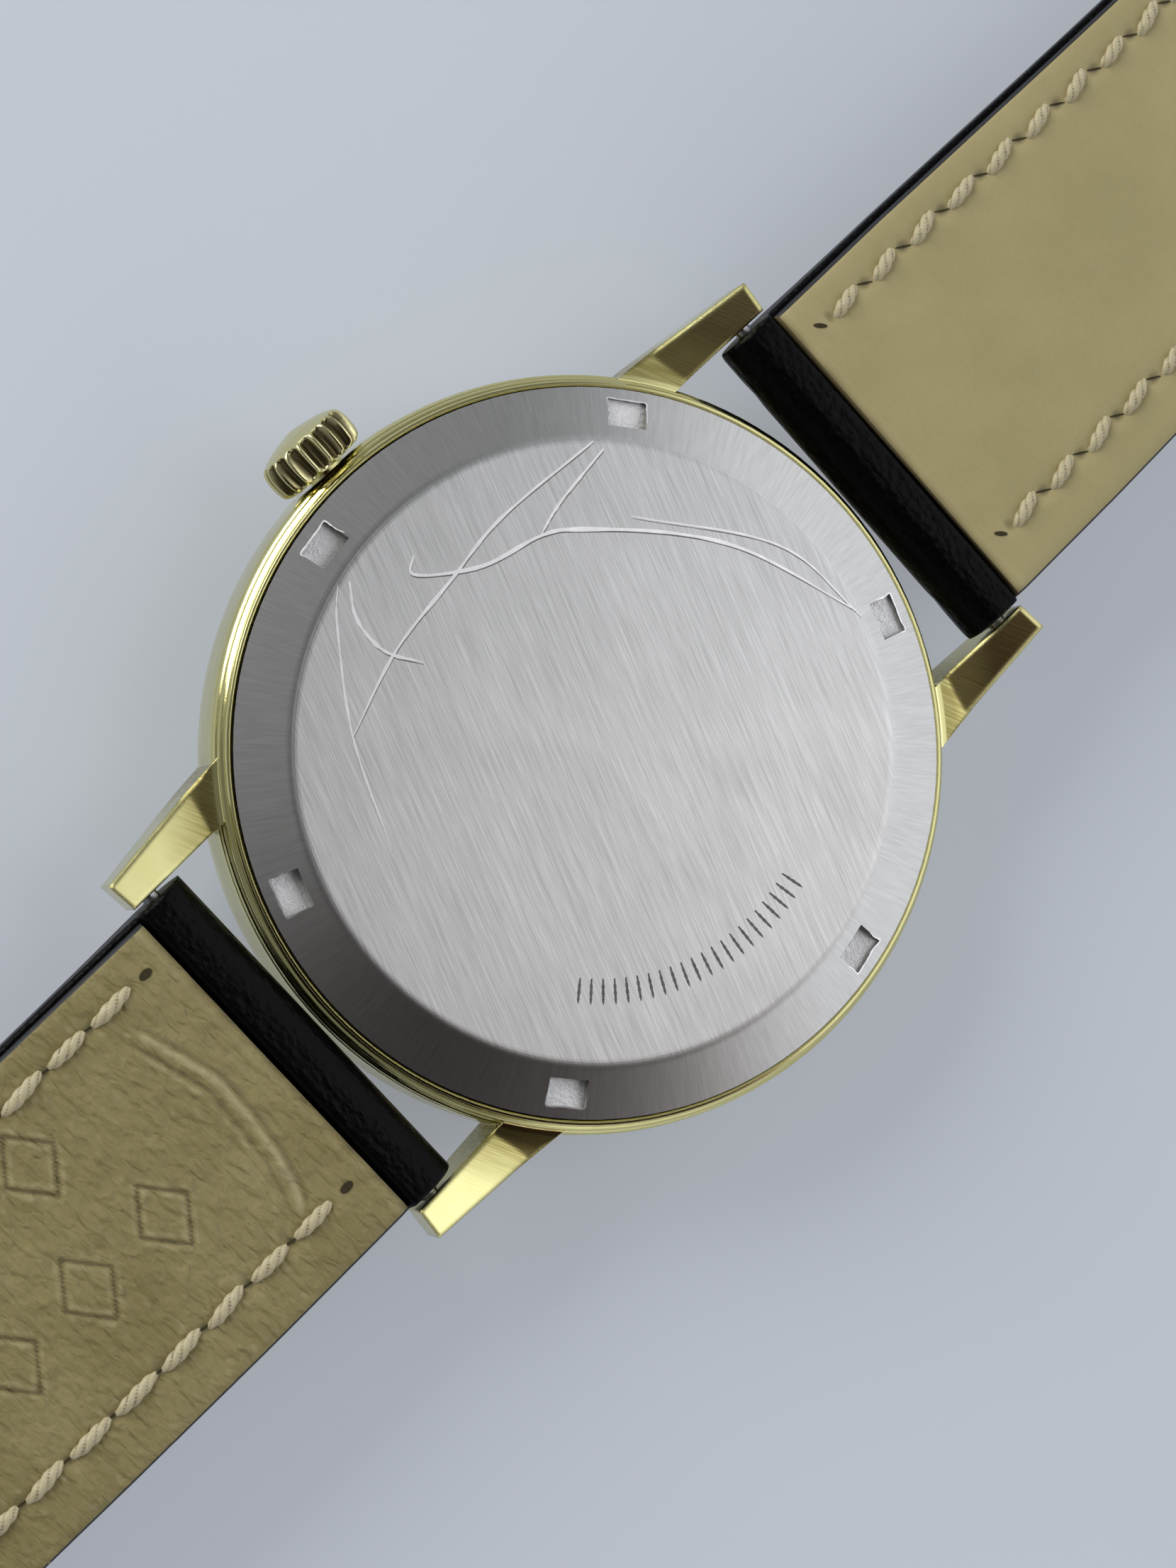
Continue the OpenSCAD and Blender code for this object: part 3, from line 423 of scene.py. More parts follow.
def spindles(places, half, lean, seed, rise):
    """Stitches of three-ply thread. Each is a spindle: THREAD_R times a fade towards its ends, times the swell of
    three plies that turn along it. Its ends dive into the leather. Rise is 1 on the lining and -1 on the calf."""
    rng = np.random.default_rng(seed)
    n, stations, around = len(places), 21, 15
    u = np.linspace(-1, 1, stations)[None, :, None]
    a = np.linspace(0, 2 * np.pi, around, endpoint=False)[None, None, :]
    length = (half + 0.06 * rng.standard_normal(n))[:, None, None]
    angle = np.radians(lean + 3 * rng.standard_normal(n))[:, None, None]
    fade = np.clip(1 - np.abs(u) ** 2.3, 0, 1) ** 0.62
    ply = np.abs(np.cos(1.5 * (a - 3.1 * u * length - 6.28 * rng.random(n)[:, None, None])))
    r = THREAD_R * (0.10 + 0.90 * fade) * (0.58 + 0.42 * ply ** 0.7)
    side = r * np.cos(a)
    up = 0.8 * r * np.sin(a) + 0.06 - 0.25 * np.abs(u) ** 3
    along = u * length + 0 * a
    px = side * np.cos(angle) - along * np.sin(angle)
    py = side * np.sin(angle) + along * np.cos(angle)
    c = places[:, None, None, :]
    points = np.stack([c[..., 0] + px, c[..., 1] + py, c[..., 2] + c[..., 3] * py + rise * up], -1)
    body = quads(stations, around, round_columns=True)[:, ::-1 if rise > 0 else 1]
    size = stations * around
    faces = (body[None] + size * np.arange(n)[:, None, None]).reshape(-1, 4).tolist()
    ends = [list(range(around)), list(range(size - around, size))]
    ends[0 if rise < 0 else 1].reverse()
    faces += [[size * k + i for i in cap] for k in range(n) for cap in ends]
    return points.reshape(-1, 3), faces, ply.reshape(-1)


def thread(name, strap, slant, materials):
    """The pale stitches on the lining, the black ones below them on the calf, and the shadow in the slit between each
    two pale ones, painted on a flat leaf that leans the other way. Before the first stitch of each row lies a round awl
    hole, its shadow painted on a leaf the same way."""
    places = stitch_places(strap)
    n = len(places)
    points, faces, ply = spindles(places, strap["half_stitch"], slant, 5, 1)
    below = places.copy()
    thickness = thick(below[:, 1], strap)
    below[:, 0] = np.sign(below[:, 0]) * (half_w(below[:, 1], strap) - STITCH_IN)
    below[:, 1] += STITCH_PITCH / 2
    below[:, 2] = face_z(below[:, 1], strap) - thickness + 0.36
    keep = below[:, 1] > 27
    under_points, under_faces, under_ply = spindles(below[keep], 0.95, 4, 6, -1)
    # painted shadow for the slits and awl holes: a dark flat leaf at each
    t = np.linspace(0, 2 * np.pi, 12, endpoint=False)[None, :]
    first = places[:, 1] < strap["stitches"][0] + 0.1
    slit_y = np.where(first, strap["first_hole"], places[:, 1] - STITCH_PITCH / 2)
    sx = np.where(first, 0.11 if strap is SHORT else 0.20, 0.05)[:, None]
    sy = np.where(first, 0.34, 0.42)[:, None]
    tilt = np.radians(np.where(first, -44, -29) if strap is SHORT else np.where(first, 0, -8))[:, None]
    lx, ly = sx * np.cos(t), sy * np.sin(t)
    kx = places[:, :1] + lx * np.cos(tilt) - ly * np.sin(tilt)
    ky = slit_y[:, None] + lx * np.sin(tilt) + ly * np.cos(tilt)
    slit_shadow_leaves = np.stack([kx, ky, face_z(ky, strap) + relief(kx, ky, strap) + 0.03], -1)
    start = len(points)
    faces = faces + [[start + i for i in f] for f in under_faces]
    black = len(under_faces)
    start += len(under_points)
    faces += (start + 12 * np.arange(n)[:, None] + np.arange(12)).tolist()
    everything = turned(np.concatenate([points, under_points, slit_shadow_leaves.reshape(-1, 3)]), strap)
    piece = mesh_of(name, everything, faces, materials, recalc=False)
    give(piece, "twist", np.concatenate([ply, under_ply, np.ones(slit_shadow_leaves.size // 3)]))
    kinds = np.zeros(len(faces), np.int32)
    kinds[-n:] = 1
    kinds[len(faces) - n - black:len(faces) - n] = 2
    piece.data.polygons.foreach_set("material_index", kinds)
    return piece


def crown_shell(name, material):
    """The fluted crown round its stem: a profile turned about the stem's axis, whose radius swells in the middle, with
    rounded ridges. Each ridge is a bell across its pitch, and the flutes between them fade out at both ends."""
    low, high = (np.array(v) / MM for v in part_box("crown"))
    axis_z = (low[2] + high[2]) / 2
    radius, inner, outer = (high[2] - low[2]) / 2, high[0], low[0]
    length = inner - outer
    # share of the length from the case outwards, share of the radius, and depth of the flutes there
    profile = np.array([
        (0.54, 0.02, 0), (0.54, 0.56, 0), (0.0, 0.57, 0), (0.0, 0.84, 0), (0.02, 0.88, 0.2), (0.07, 0.945, 0.9),
        (0.14, 0.975, 1), (0.28, 0.995, 1), (0.40, 1.0, 1), (0.52, 0.995, 1), (0.62, 0.975, 1),
        (0.70, 0.945, 0.9), (0.745, 0.91, 0.45), (0.77, 0.875, 0.1), (0.79, 0.84, 0), (0.84, 0.74, 0),
        (0.89, 0.60, 0), (0.93, 0.44, 0), (0.965, 0.27, 0), (0.99, 0.12, 0), (1.0, 0.01, 0)])
    knots = np.arange(len(profile))
    t = np.concatenate([[0, 1, 2, 3], np.linspace(3, len(profile) - 1, 64)[1:]])
    share, rise, deep = (np.interp(t, knots, profile[:, k]) for k in range(3))
    around = np.linspace(0, 2 * np.pi, FLUTES * 16, endpoint=False)
    pitch = (around * FLUTES / (2 * np.pi)) % 1 - 0.5
    ridge = bump_of(pitch, 0, 0.25)
    uneven = 1 + 0.12 * np.sin(3 * around + 1) * np.sin(5 * around)
    r = radius * rise[:, None] - 0.34 * deep[:, None] * (1 - ridge)[None, :] * uneven[None, :]
    x = inner - length * share[:, None] + 0 * r
    rings = np.stack([x, r * np.cos(around), axis_z + r * np.sin(around)], -1)
    piece = solid_of(name, rings, material)
    # how deep in a flute each point lies: its distance below the ridges, over the flutes' depth
    at = vertices_of(piece)
    full = radius * np.interp((inner - at[:, 0]) / length, share[3:], rise[3:])
    sunk = np.where(full > radius * 0.8, np.clip((full - np.hypot(at[:, 1], at[:, 2] - axis_z)) / 0.3, 0, 1), 0)
    give(piece, "flute", sunk)
    return piece


def keeper(node, material):
    """A leather loop: a rounded strip 0.96 thick carried round a rounded rectangle that fits the CAD loop's box."""
    low, high = (np.array(v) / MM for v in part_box(node))
    middle, half = (low + high) / 2, (high - low) / 2
    t = np.linspace(0, 2 * np.pi, 72, endpoint=False)
    power = 0.16
    cx, cz = np.cos(t), np.sin(t)
    path_x = np.sign(cx) * np.abs(cx) ** power * (half[0] - 0.5)
    path_z = np.sign(cz) * np.abs(cz) ** power * (half[2] - 0.5)
    path = np.stack([path_x, path_z], -1)
    step = np.roll(path, -1, 0) - np.roll(path, 1, 0)
    normal = np.stack([step[:, 1], -step[:, 0]], -1)
    normal /= np.linalg.norm(normal, axis=1)[:, None]
    s = np.linspace(0, 2 * np.pi, 20, endpoint=False)
    cs, sn = np.cos(s), np.sin(s)
    out = np.sign(cs) * np.abs(cs) ** 0.45 * 0.48
    across = np.sign(sn) * np.abs(sn) ** 0.3 * (half[1] - 0.02)
    x, z = (path[:, None, k] + normal[:, None, k] * out for k in (0, 1))
    points = np.stack([x, across[None, :] + 0 * path[:, :1], z], -1) + middle
    return mesh_of(node + "_leather", points, quads(72, 20, True, True), material)


def strip(points, width, lift):
    """A thin ribbon along a smooth curve through the points, lift above the case back. Its width rises from a quarter
    at the ends by the root of a sine, and wavers a little."""
    points = np.asarray(points, float)
    t = np.arange(len(points))
    fine = np.linspace(0, len(points) - 1, 12 * len(points))
    path = np.stack([catmull(points[:, k], fine) for k in (0, 1)], -1)
    step = np.gradient(path, axis=0)
    normal = np.stack([-step[:, 1], step[:, 0]], -1) / np.linalg.norm(step, axis=1)[:, None]
    u = fine / t[-1]
    taper = 0.25 + 0.75 * np.clip(np.sin(np.pi * u), 0, 1) ** 0.5
    half = width / 2 * taper * (1 + 0.35 * np.sin(41 * u) * np.sin(17 * u + 1))
    edge = np.stack([path - normal * half[:, None], path + normal * half[:, None]], 1)
    return np.concatenate([edge, (back_z(np.linalg.norm(edge, axis=-1)) + lift)[..., None]], -1)


def back_z(radius):
    """Height of the case back: level, then a chamfer of 0.79 in 2.39, and a rounding 0.5 wide where the two meet."""
    rounded = np.clip(radius - FLAT_R + 0.25, 0, 0.5) ** 2
    return -CHAMFER_SLOPE * np.where(radius < FLAT_R + 0.25, rounded, radius - FLAT_R)


def catmull(values, at):
    """Catmull-Rom curve through the values, at the given places."""
    k = np.clip(np.floor(at).astype(int), 0, len(values) - 2)
    f = at - k
    p = np.concatenate([[2 * values[0] - values[1]], values, [2 * values[-1] - values[-2]]])
    a, b, c, d = p[k], p[k + 1], p[k + 2], p[k + 3]
    return 0.5 * (2 * b + (c - a) * f + (2 * a - 5 * b + 4 * c - d) * f ** 2 + (3 * b - a - 3 * c + d) * f ** 3)


def ribbons(name, lines, material):
    """Several ribbons as one piece."""
    points, faces, start = [], [], 0
    for line, width, lift in lines:
        grid = strip(line, width, lift)
        points.append(grid.reshape(-1, 3))
        faces.append(quads(len(grid), 2)[:, ::-1] + start)
        start += 2 * len(grid)
    return mesh_of(name, np.concatenate(points), np.concatenate(faces), material, recalc=False)


# ---- materials ----
def brushed_case_back():
    """Stainless steel: the middle drawn straight on an abrasive belt, the chamfer spun under abrasive so that its
    grain runs along the radius, and notch floors left rough by the milling cutter."""
    m, t, s, place = begin("stainless_steel_brushed", "#c6c6c3", 0.32, 1.0, Anisotropic=0.5)
    parts = add(t, "SeparateXYZ", {0: place}).node.outputs
    flat_point = add(t, "CombineXYZ", {"X": parts["X"], "Y": parts["Y"]})
    radius = add(t, "VectorMath", {0: flat_point}, out="Value", operation="LENGTH")
    ring = add(t, "MapRange", {"Value": radius, "From Min": 13.74, "From Max": 13.88})
    direction = add(t, "VectorMath", {0: flat_point}, operation="NORMALIZE")
    # straight belt lines 2 to 5 long and 0.06 wide, and wider faint ones
    belt = add(t, "Mapping", {"Vector": place, "Rotation": (0, 0, BELT), "Scale": (2.6, 0.055, 1)},
        vector_type="TEXTURE")
    belt_wide = add(t, "Mapping", {"Vector": place, "Rotation": (0, 0, BELT - math.radians(1)),
        "Scale": (8, 0.2, 1)}, vector_type="TEXTURE")
    line = add(t, "TexNoise", {"Vector": belt, "Scale": 1.0, "Detail": 2.0, "Roughness": 0.6})
    wide = add(t, "TexNoise", {"Vector": belt_wide, "Scale": 1.0, "Detail": 2.0})
    # radial lines: noise on the unit circle, stretched along the radius, so that there is no seam
    along = add(t, "CombineXYZ", {"Z": add(t, "Math", {0: radius, 1: 0.7}, operation="MULTIPLY")})
    spun_point = add(t, "VectorMath", {0: direction, 1: (190, 190, 190)}, operation="MULTIPLY")
    spun = add(t, "TexNoise", {"Vector": add(t, "VectorMath", {0: spun_point, 1: along}, operation="ADD"),
        "Scale": 1.0, "Detail": 2.0, "Roughness": 0.6})
    slow_point = add(t, "VectorMath", {0: direction, 1: (60, 60, 60)}, operation="MULTIPLY")
    slow = add(t, "TexNoise", {"Vector": add(t, "VectorMath", {0: slow_point, 1: along}, operation="ADD"),
        "Scale": 1.0, "Detail": 1.0})
    belt_all = add(t, "Math", {0: line, 1: add(t, "Math", {0: wide, 1: 0.5}, operation="MULTIPLY")},
        operation="ADD")
    spun_raw = add(t, "Math", {0: spun, 1: add(t, "Math", {0: slow, 1: 0.4}, operation="MULTIPLY")},
        operation="ADD")
    spun_all = add(t, "Math", {0: spun_raw, 1: 0.5, 2: 0.38}, operation="MULTIPLY_ADD")
    grain = add(t, "Mix", {"Factor": ring, 2: belt_all, 3: spun_all}, data_type="FLOAT")
    # notch floors are lower than anything else inside that radius, and notch walls stand between; the steep walls are
    # given a darker colour as painted shade
    inside = add(t, "MapRange", {"Value": radius, "From Min": 15.75, "From Max": 15.8, "To Min": 1.0,
        "To Max": 0.0})
    low = add(t, "MapRange", {"Value": parts["Z"], "From Min": -0.82, "From Max": -0.78, "To Min": 1.0,
        "To Max": 0.0})
    floor = add(t, "Math", {0: low, 1: inside}, operation="MULTIPLY")
    upright = add(t, "SeparateXYZ", {0: add(t, "NewGeometry", out="True Normal")}).node.outputs["Z"]
    steep = add(t, "MapRange", {"Value": upright, "From Min": 0.3, "From Max": 0.5, "To Min": 1.0, "To Max": 0.0})
    wall_shade = add(t, "Math", {0: steep, 1: inside}, operation="MULTIPLY")
    cutter = add(t, "TexNoise", {"Vector": place, "Scale": 5.0, "Detail": 4.0, "Roughness": 0.7})
    shade = add(t, "MapRange", {"Value": grain, "From Min": 0.45, "From Max": 1.05})
    colour = add(t, "Mix", {"Factor": shade, 6: linear("#b2b2af"), 7: linear("#dadad7")}, out=2, data_type="RGBA")
    rough_floor = add(t, "Mix", {"Factor": cutter, 6: linear("#e2e3e2"), 7: linear("#ffffff")}, out=2,
        data_type="RGBA")
    with_floor = add(t, "Mix", {"Factor": floor, 6: colour, 7: rough_floor}, out=2, data_type="RGBA")
    feed(s, Base_Color=add(t, "Mix", {"Factor": wall_shade, 6: with_floor, 7: linear("#86857f")}, out=2,
        data_type="RGBA"))
    blotch = add(t, "TexNoise", {"Vector": place, "Scale": 0.22, "Detail": 3.0})
    rough = add(t, "MapRange", {"Value": blotch, "To Min": 0.29, "To Max": 0.36})
    spun_rough = add(t, "Mix", {"Factor": ring, 2: rough, 3: 0.285}, data_type="FLOAT")
    feed(s, Roughness=add(t, "Mix", {"Factor": floor, 2: spun_rough, 3: 0.5}, data_type="FLOAT"))
    fine = add(t, "Bump", {"Height": grain, "Distance": 0.000003, "Strength": 0.7})
    feed(s, Normal=add(t, "Bump", {"Height": add(t, "Math", {0: cutter, 1: floor}, operation="MULTIPLY"),
        "Distance": 0.00006, "Strength": 0.7, "Normal": fine}))
    # the shine spreads across the grain: 71 degrees from X on the flat, round the ring on the chamfer
    round_way = add(t, "VectorMath", {0: (0, 0, 1), 1: direction}, operation="CROSS_PRODUCT")
    feed(s, Tangent=add(t, "Mix", {"Factor": ring, 4: (math.cos(SHINE), math.sin(SHINE), 0), 5: round_way}, out=1,
        data_type="VECTOR"))
    return m


def gold_plate(name, colour, roughness, lug_grain_and_root_shade=False, fluted=False):
    """Gold plating over polished brass: a pale greenish yellow mirror with hairlines from wear. On the case the backs
    of the lugs keep a light satin grain across their length, with painted shade at their roots, and on the crown the
    flutes darken towards their bottoms."""
    m, t, s, place = begin(name, colour, roughness, 1.0)
    hair = add(t, "Mapping", {"Vector": place, "Rotation": (0.3, 0.2, 0.9), "Scale": (5, 0.12, 0.4)},
        vector_type="TEXTURE")
    hairs = add(t, "TexNoise", {"Vector": hair, "Scale": 1.0, "Detail": 2.0})
    dull = add(t, "TexNoise", {"Vector": place, "Scale": 0.8, "Detail": 3.0})
    rough = add(t, "MapRange", {"Value": dull, "From Min": 0.35, "From Max": 0.7, "To Min": roughness,
        "To Max": roughness + 0.10})
    tone = add(t, "Mix", {"Factor": dull, 6: linear(colour), 7: linear("#cfc887")}, out=2, data_type="RGBA")
    height = hairs
    facing = {}
    if lug_grain_and_root_shade:
        parts = add(t, "SeparateXYZ", {0: place}).node.outputs
        out = add(t, "Math", {0: parts["Y"]}, operation="ABSOLUTE")
        on_lug = add(t, "MapRange", {"Value": out, "From Min": 12.3, "From Max": 12.6})
        turned_up = add(t, "SeparateXYZ", {0: add(t, "NewGeometry", out="Normal")}).node.outputs["Z"]
        up = add(t, "MapRange", {"Value": turned_up, "From Min": 0.9, "From Max": 0.95})
        above = add(t, "MapRange", {"Value": parts["Z"], "From Min": -2.7, "From Max": -2.6})
        satin = add(t, "Math", {0: add(t, "Math", {0: on_lug, 1: up}, operation="MULTIPLY"), 1: above},
            operation="MULTIPLY")
        across = add(t, "Mapping", {"Vector": place, "Rotation": (0, 0, math.radians(25)),
            "Scale": (2.5, 0.09, 1)}, vector_type="TEXTURE")
        satin_line = add(t, "TexNoise", {"Vector": across, "Scale": 1.0, "Detail": 2.0})
        rough = add(t, "Mix", {"Factor": satin, 2: rough, 3: 0.13}, data_type="FLOAT")
        height = add(t, "Mix", {"Factor": satin, 2: hairs, 3: satin_line}, data_type="FLOAT")
        # polishing rounds the edges: 0.05 on the case, and 0.3 on the lugs
        flat = add(t, "VectorMath", {0: add(t, "CombineXYZ", {"X": parts["X"], "Y": parts["Y"]})}, out="Value",
            operation="LENGTH")
        rounding = add(t, "MapRange", {"Value": flat, "From Min": 17.1, "From Max": 17.5, "To Min": 0.00005,
            "To Max": 0.0003})
        # painted shade at the roots: darker, duller plating that fades outwards and is broken by the satin lines
        near = add(t, "MapRange", {"Value": flat, "From Min": 17.6, "From Max": 19.8, "To Min": 0.8,
            "To Max": 0.0})
        beyond = add(t, "MapRange", {"Value": flat, "From Min": 16.95, "From Max": 17.05})
        root = add(t, "Math", {0: add(t, "Math", {0: near, 1: beyond}, operation="MULTIPLY"),
            1: add(t, "MapRange", {"Value": satin_line, "From Min": 0.3, "From Max": 0.6, "To Min": 0.6})},
            operation="MULTIPLY")
        root_shade = add(t, "Math", {0: root, 1: on_lug}, operation="MULTIPLY")
        tone = add(t, "Mix", {"Factor": root_shade, 6: tone, 7: linear("#7f7136")}, out=2, data_type="RGBA")
        rough = add(t, "Mix", {"Factor": root_shade, 2: rough, 3: 0.34}, data_type="FLOAT")
        facing = {"Normal": add(t, "Bevel", {"Radius": rounding}, samples=6)}
    if fluted:
        # the colour turns darker and the gloss duller towards the bottom of the flutes
        flute_darkening = add(t, "MapRange", {"Value": add(t, "Attribute", out="Fac", attribute_name="flute"),
            "From Min": 0.25, "From Max": 0.8, "To Max": 0.9})
        tone = add(t, "Mix", {"Factor": flute_darkening, 6: tone, 7: linear("#3d321c")}, out=2, data_type="RGBA")
        rough = add(t, "Mix", {"Factor": flute_darkening, 2: rough, 3: 0.4}, data_type="FLOAT")
    feed(s, Base_Color=tone)
    feed(s, Roughness=rough)
    feed(s, Normal=add(t, "Bump", {"Height": height, "Distance": 0.0000012, "Strength": 1.0, **facing}))
    return m


def plain_metal(name, colour, roughness, grain=0.15, other=None):
    """Machined metal with a faint turning grain and cloudy variation in gloss."""
    m, t, s, place = begin(name, colour, roughness, 1.0)
    cloud = add(t, "TexNoise", {"Vector": place, "Scale": 1.6, "Detail": 3.0})
    feed(s, Roughness=add(t, "MapRange", {"Value": cloud, "To Min": roughness * 0.8, "To Max": roughness * 1.35}))
    feed(s, Base_Color=add(t, "Mix", {"Factor": cloud, 6: linear(colour), 7: linear(other or colour)}, out=2,
        data_type="RGBA"))
    lines = add(t, "TexNoise", {"Vector": add(t, "Mapping", {"Vector": place, "Scale": (0.4, 8, 8)}),
        "Scale": 1.0, "Detail": 2.0})
    feed(s, Normal=add(t, "Bump", {"Height": lines, "Distance": 0.000002, "Strength": grain}))
    return m


def striped_plate():
    """Rhodium-plated movement brass, finished in wide straight stripes."""
    m, t, s, place = begin("rhodium_plated_brass_striped", "#c9c5bb", 0.3, 1.0)
    band = add(t, "TexWave", {"Vector": add(t, "Mapping", {"Vector": place, "Rotation": (0, 0, 0.5)}),
        "Scale": 0.12, "Distortion": 0.0}, out=1, wave_profile="SAW")
    fine = add(t, "TexNoise", {"Vector": add(t, "Mapping",
        {"Vector": place, "Rotation": (0, 0, 0.5), "Scale": (1, 14, 1)}), "Scale": 1.0})
    feed(s, Roughness=add(t, "MapRange", {"Value": band, "To Min": 0.22, "To Max": 0.38}))
    feed(s, Base_Color=add(t, "Mix", {"Factor": fine, 6: linear("#bdb9ae"), 7: linear("#dad7cf")}, out=2,
        data_type="RGBA"))
    feed(s, Normal=add(t, "Bump", {"Height": fine, "Distance": 0.000003, "Strength": 0.5}))
    return m


def calf(name, colour, gloss, grain):
    """Black calf with a pressed fine grain: pebbles of about 0.25 with soft valleys, and a dull wax sheen."""
    m, t, s, place = begin(name, colour, gloss, 0.0, Specular_IOR_Level=0.09)
    pebble = add(t, "TexVoronoi", {"Vector": add(t, "Mapping", {"Vector": place, "Scale": (0.75, 1.15, 1)}),
        "Scale": 3.4, "Randomness": 1.0}, feature="SMOOTH_F1")
    fine = add(t, "TexNoise", {"Vector": place, "Scale": 9.0, "Detail": 3.0})
    slow = add(t, "TexNoise", {"Vector": place, "Scale": 0.35, "Detail": 2.0})
    height = add(t, "Math", {0: add(t, "Math", {0: pebble, 1: -1.0}, operation="MULTIPLY"),
        1: add(t, "Math", {0: fine, 1: 0.35}, operation="MULTIPLY")}, operation="ADD")
    feed(s, Normal=add(t, "Bump", {"Height": height, "Distance": 0.00005, "Strength": grain}))
    feed(s, Roughness=add(t, "MapRange", {"Value": slow, "To Min": gloss - 0.06, "To Max": gloss + 0.10}))
    feed(s, Base_Color=add(t, "Mix", {"Factor": fine, 6: linear(colour), 7: linear("#050507")}, out=2,
        data_type="RGBA"))
    return m


def nubuck(name, light, dark, wrinkle):
    """Beige nubuck lining: matt, with a short nap, faint clouds of colour, and small pores."""
    m, t, s, place = begin(name, light, 0.62, 0.0, Sheen_Weight=0.12, Sheen_Roughness=0.5)
    cloud = add(t, "TexNoise", {"Vector": place, "Scale": 0.16, "Detail": 3.0, "Roughness": 0.6})
    nap = add(t, "TexNoise", {"Vector": place, "Scale": 5.0, "Detail": 4.0, "Roughness": 0.7})
    fold = add(t, "TexNoise", {"Vector": add(t, "Mapping", {"Vector": place, "Scale": (0.6, 1.3, 1)}),
        "Scale": 1.7, "Detail": 2.0, "Roughness": 0.4, "Distortion": 0.4})
    mixed = add(t, "Mix", {"Factor": 0.35, 2: cloud, 3: nap}, data_type="FLOAT")
    shade = add(t, "MapRange", {"Value": mixed, "From Min": 0.35, "From Max": 0.65})
    cloudy = add(t, "Mix", {"Factor": shade, 6: linear(dark), 7: linear(light)}, out=2, data_type="RGBA")
    # painted shade in the creases and a painted highlight on the ridges, from how far each point stands above its
    # surroundings
    stand = add(t, "Attribute", out="Fac", attribute_name="stand")
    sunk = add(t, "MapRange", {"Value": stand, "From Min": -0.04, "From Max": -0.006, "To Min": 0.6,
        "To Max": 0.0})
    ridge_highlight = add(t, "MapRange", {"Value": stand, "From Min": 0.006, "From Max": 0.04, "To Min": 0.0, "To Max": 0.4})
    with_crease_shade = add(t, "Mix", {"Factor": sunk, 6: cloudy, 7: linear("#4a4224")}, out=2, data_type="RGBA")
    feed(s, Base_Color=add(t, "Mix", {"Factor": ridge_highlight, 6: with_crease_shade, 7: linear("#d3c9a0")}, out=2, data_type="RGBA"))
    soft = add(t, "Bump", {"Height": nap, "Distance": 0.000015, "Strength": 0.5})
    feed(s, Normal=add(t, "Bump", {"Height": fold, "Distance": 0.0003, "Strength": wrinkle, "Normal": soft}))
    return m


def waxed_thread():
    """Off-white waxed linen: pale, slightly shiny, with fibres along the plies, and painted shade in the grooves
    between them.
    """
    m, t, s, place = begin("linen_thread_waxed", "#d9cfae", 0.5, 0.0, Sheen_Weight=0.2)
    fibre = add(t, "TexNoise", {"Vector": place, "Scale": 7.0, "Detail": 3.0})
    yarn = add(t, "Mix", {"Factor": fibre, 6: linear("#b5a97f"), 7: linear("#d9cfac")}, out=2, data_type="RGBA")
    # painted shade in the grooves between the plies
    groove_shade = add(t, "MapRange", {"Value": add(t, "Attribute", out="Fac", attribute_name="twist"),
        "From Min": 0.05, "From Max": 0.5, "To Min": 0.85, "To Max": 0.0})
    feed(s, Base_Color=add(t, "Mix", {"Factor": groove_shade, 6: yarn, 7: linear("#5a4d2c")}, out=2, data_type="RGBA"))
    feed(s, Normal=add(t, "Bump", {"Height": fibre, "Distance": 0.00003, "Strength": 0.5}))
    return m


def matt(name, light, dark, scale, roughness, bump=0.2):
    """A dull material with mottled colour and a little texture."""
    m, t, s, place = begin(name, light, roughness)
    mottle = add(t, "TexNoise", {"Vector": place, "Scale": scale, "Detail": 3.0})
    feed(s, Base_Color=add(t, "Mix", {"Factor": mottle, 6: linear(dark), 7: linear(light)}, out=2,
        data_type="RGBA"))
    feed(s, Normal=add(t, "Bump", {"Height": mottle, "Distance": 0.00003, "Strength": bump}))
    return m


def acrylic():
    """Pressed acrylic crystal: clear, with faint polishing marks in its gloss."""
    m, t, s, place = begin("acrylic_crystal", "#f4f8f8", 0.03, 0.0, IOR=1.49, Transmission_Weight=1.0)
    marks = add(t, "TexNoise", {"Vector": place, "Scale": 1.2, "Detail": 2.0})
    feed(s, Roughness=add(t, "MapRange", {"Value": marks, "To Min": 0.02, "To Max": 0.06}))
    return m


def sunray_dial():
    """Silvered dial, brushed from its centre so that the light fans out in rays."""
    m, t, s, place = begin("silvered_dial_sunray", "#d8d6cc", 0.35, 0.6)
    parts = add(t, "SeparateXYZ", {0: place}).node.outputs
    way = add(t, "VectorMath", {0: add(t, "CombineXYZ", {"X": parts["X"], "Y": parts["Y"]})},
        operation="NORMALIZE")
    rays = add(t, "TexNoise", {"Vector": way, "Scale": 60.0, "Detail": 2.0})
    feed(s, Base_Color=add(t, "Mix", {"Factor": rays, 6: linear("#c9c6ba"), 7: linear("#e6e4dc")}, out=2,
        data_type="RGBA"))
    feed(s, Roughness=add(t, "MapRange", {"Value": rays, "To Min": 0.28, "To Max": 0.45}))
    return m


def ruby():
    """Synthetic ruby: deep red, glassy, with slight clouding."""
    m, t, s, place = begin("synthetic_ruby", "#8f1233", 0.08, 0.0, IOR=1.77, Coat_Weight=0.3)
    cloud = add(t, "TexNoise", {"Vector": place, "Scale": 3.0})
    feed(s, Base_Color=add(t, "Mix", {"Factor": cloud, 6: linear("#7a0d28"), 7: linear("#b01f48")}, out=2,
        data_type="RGBA"))
    return m


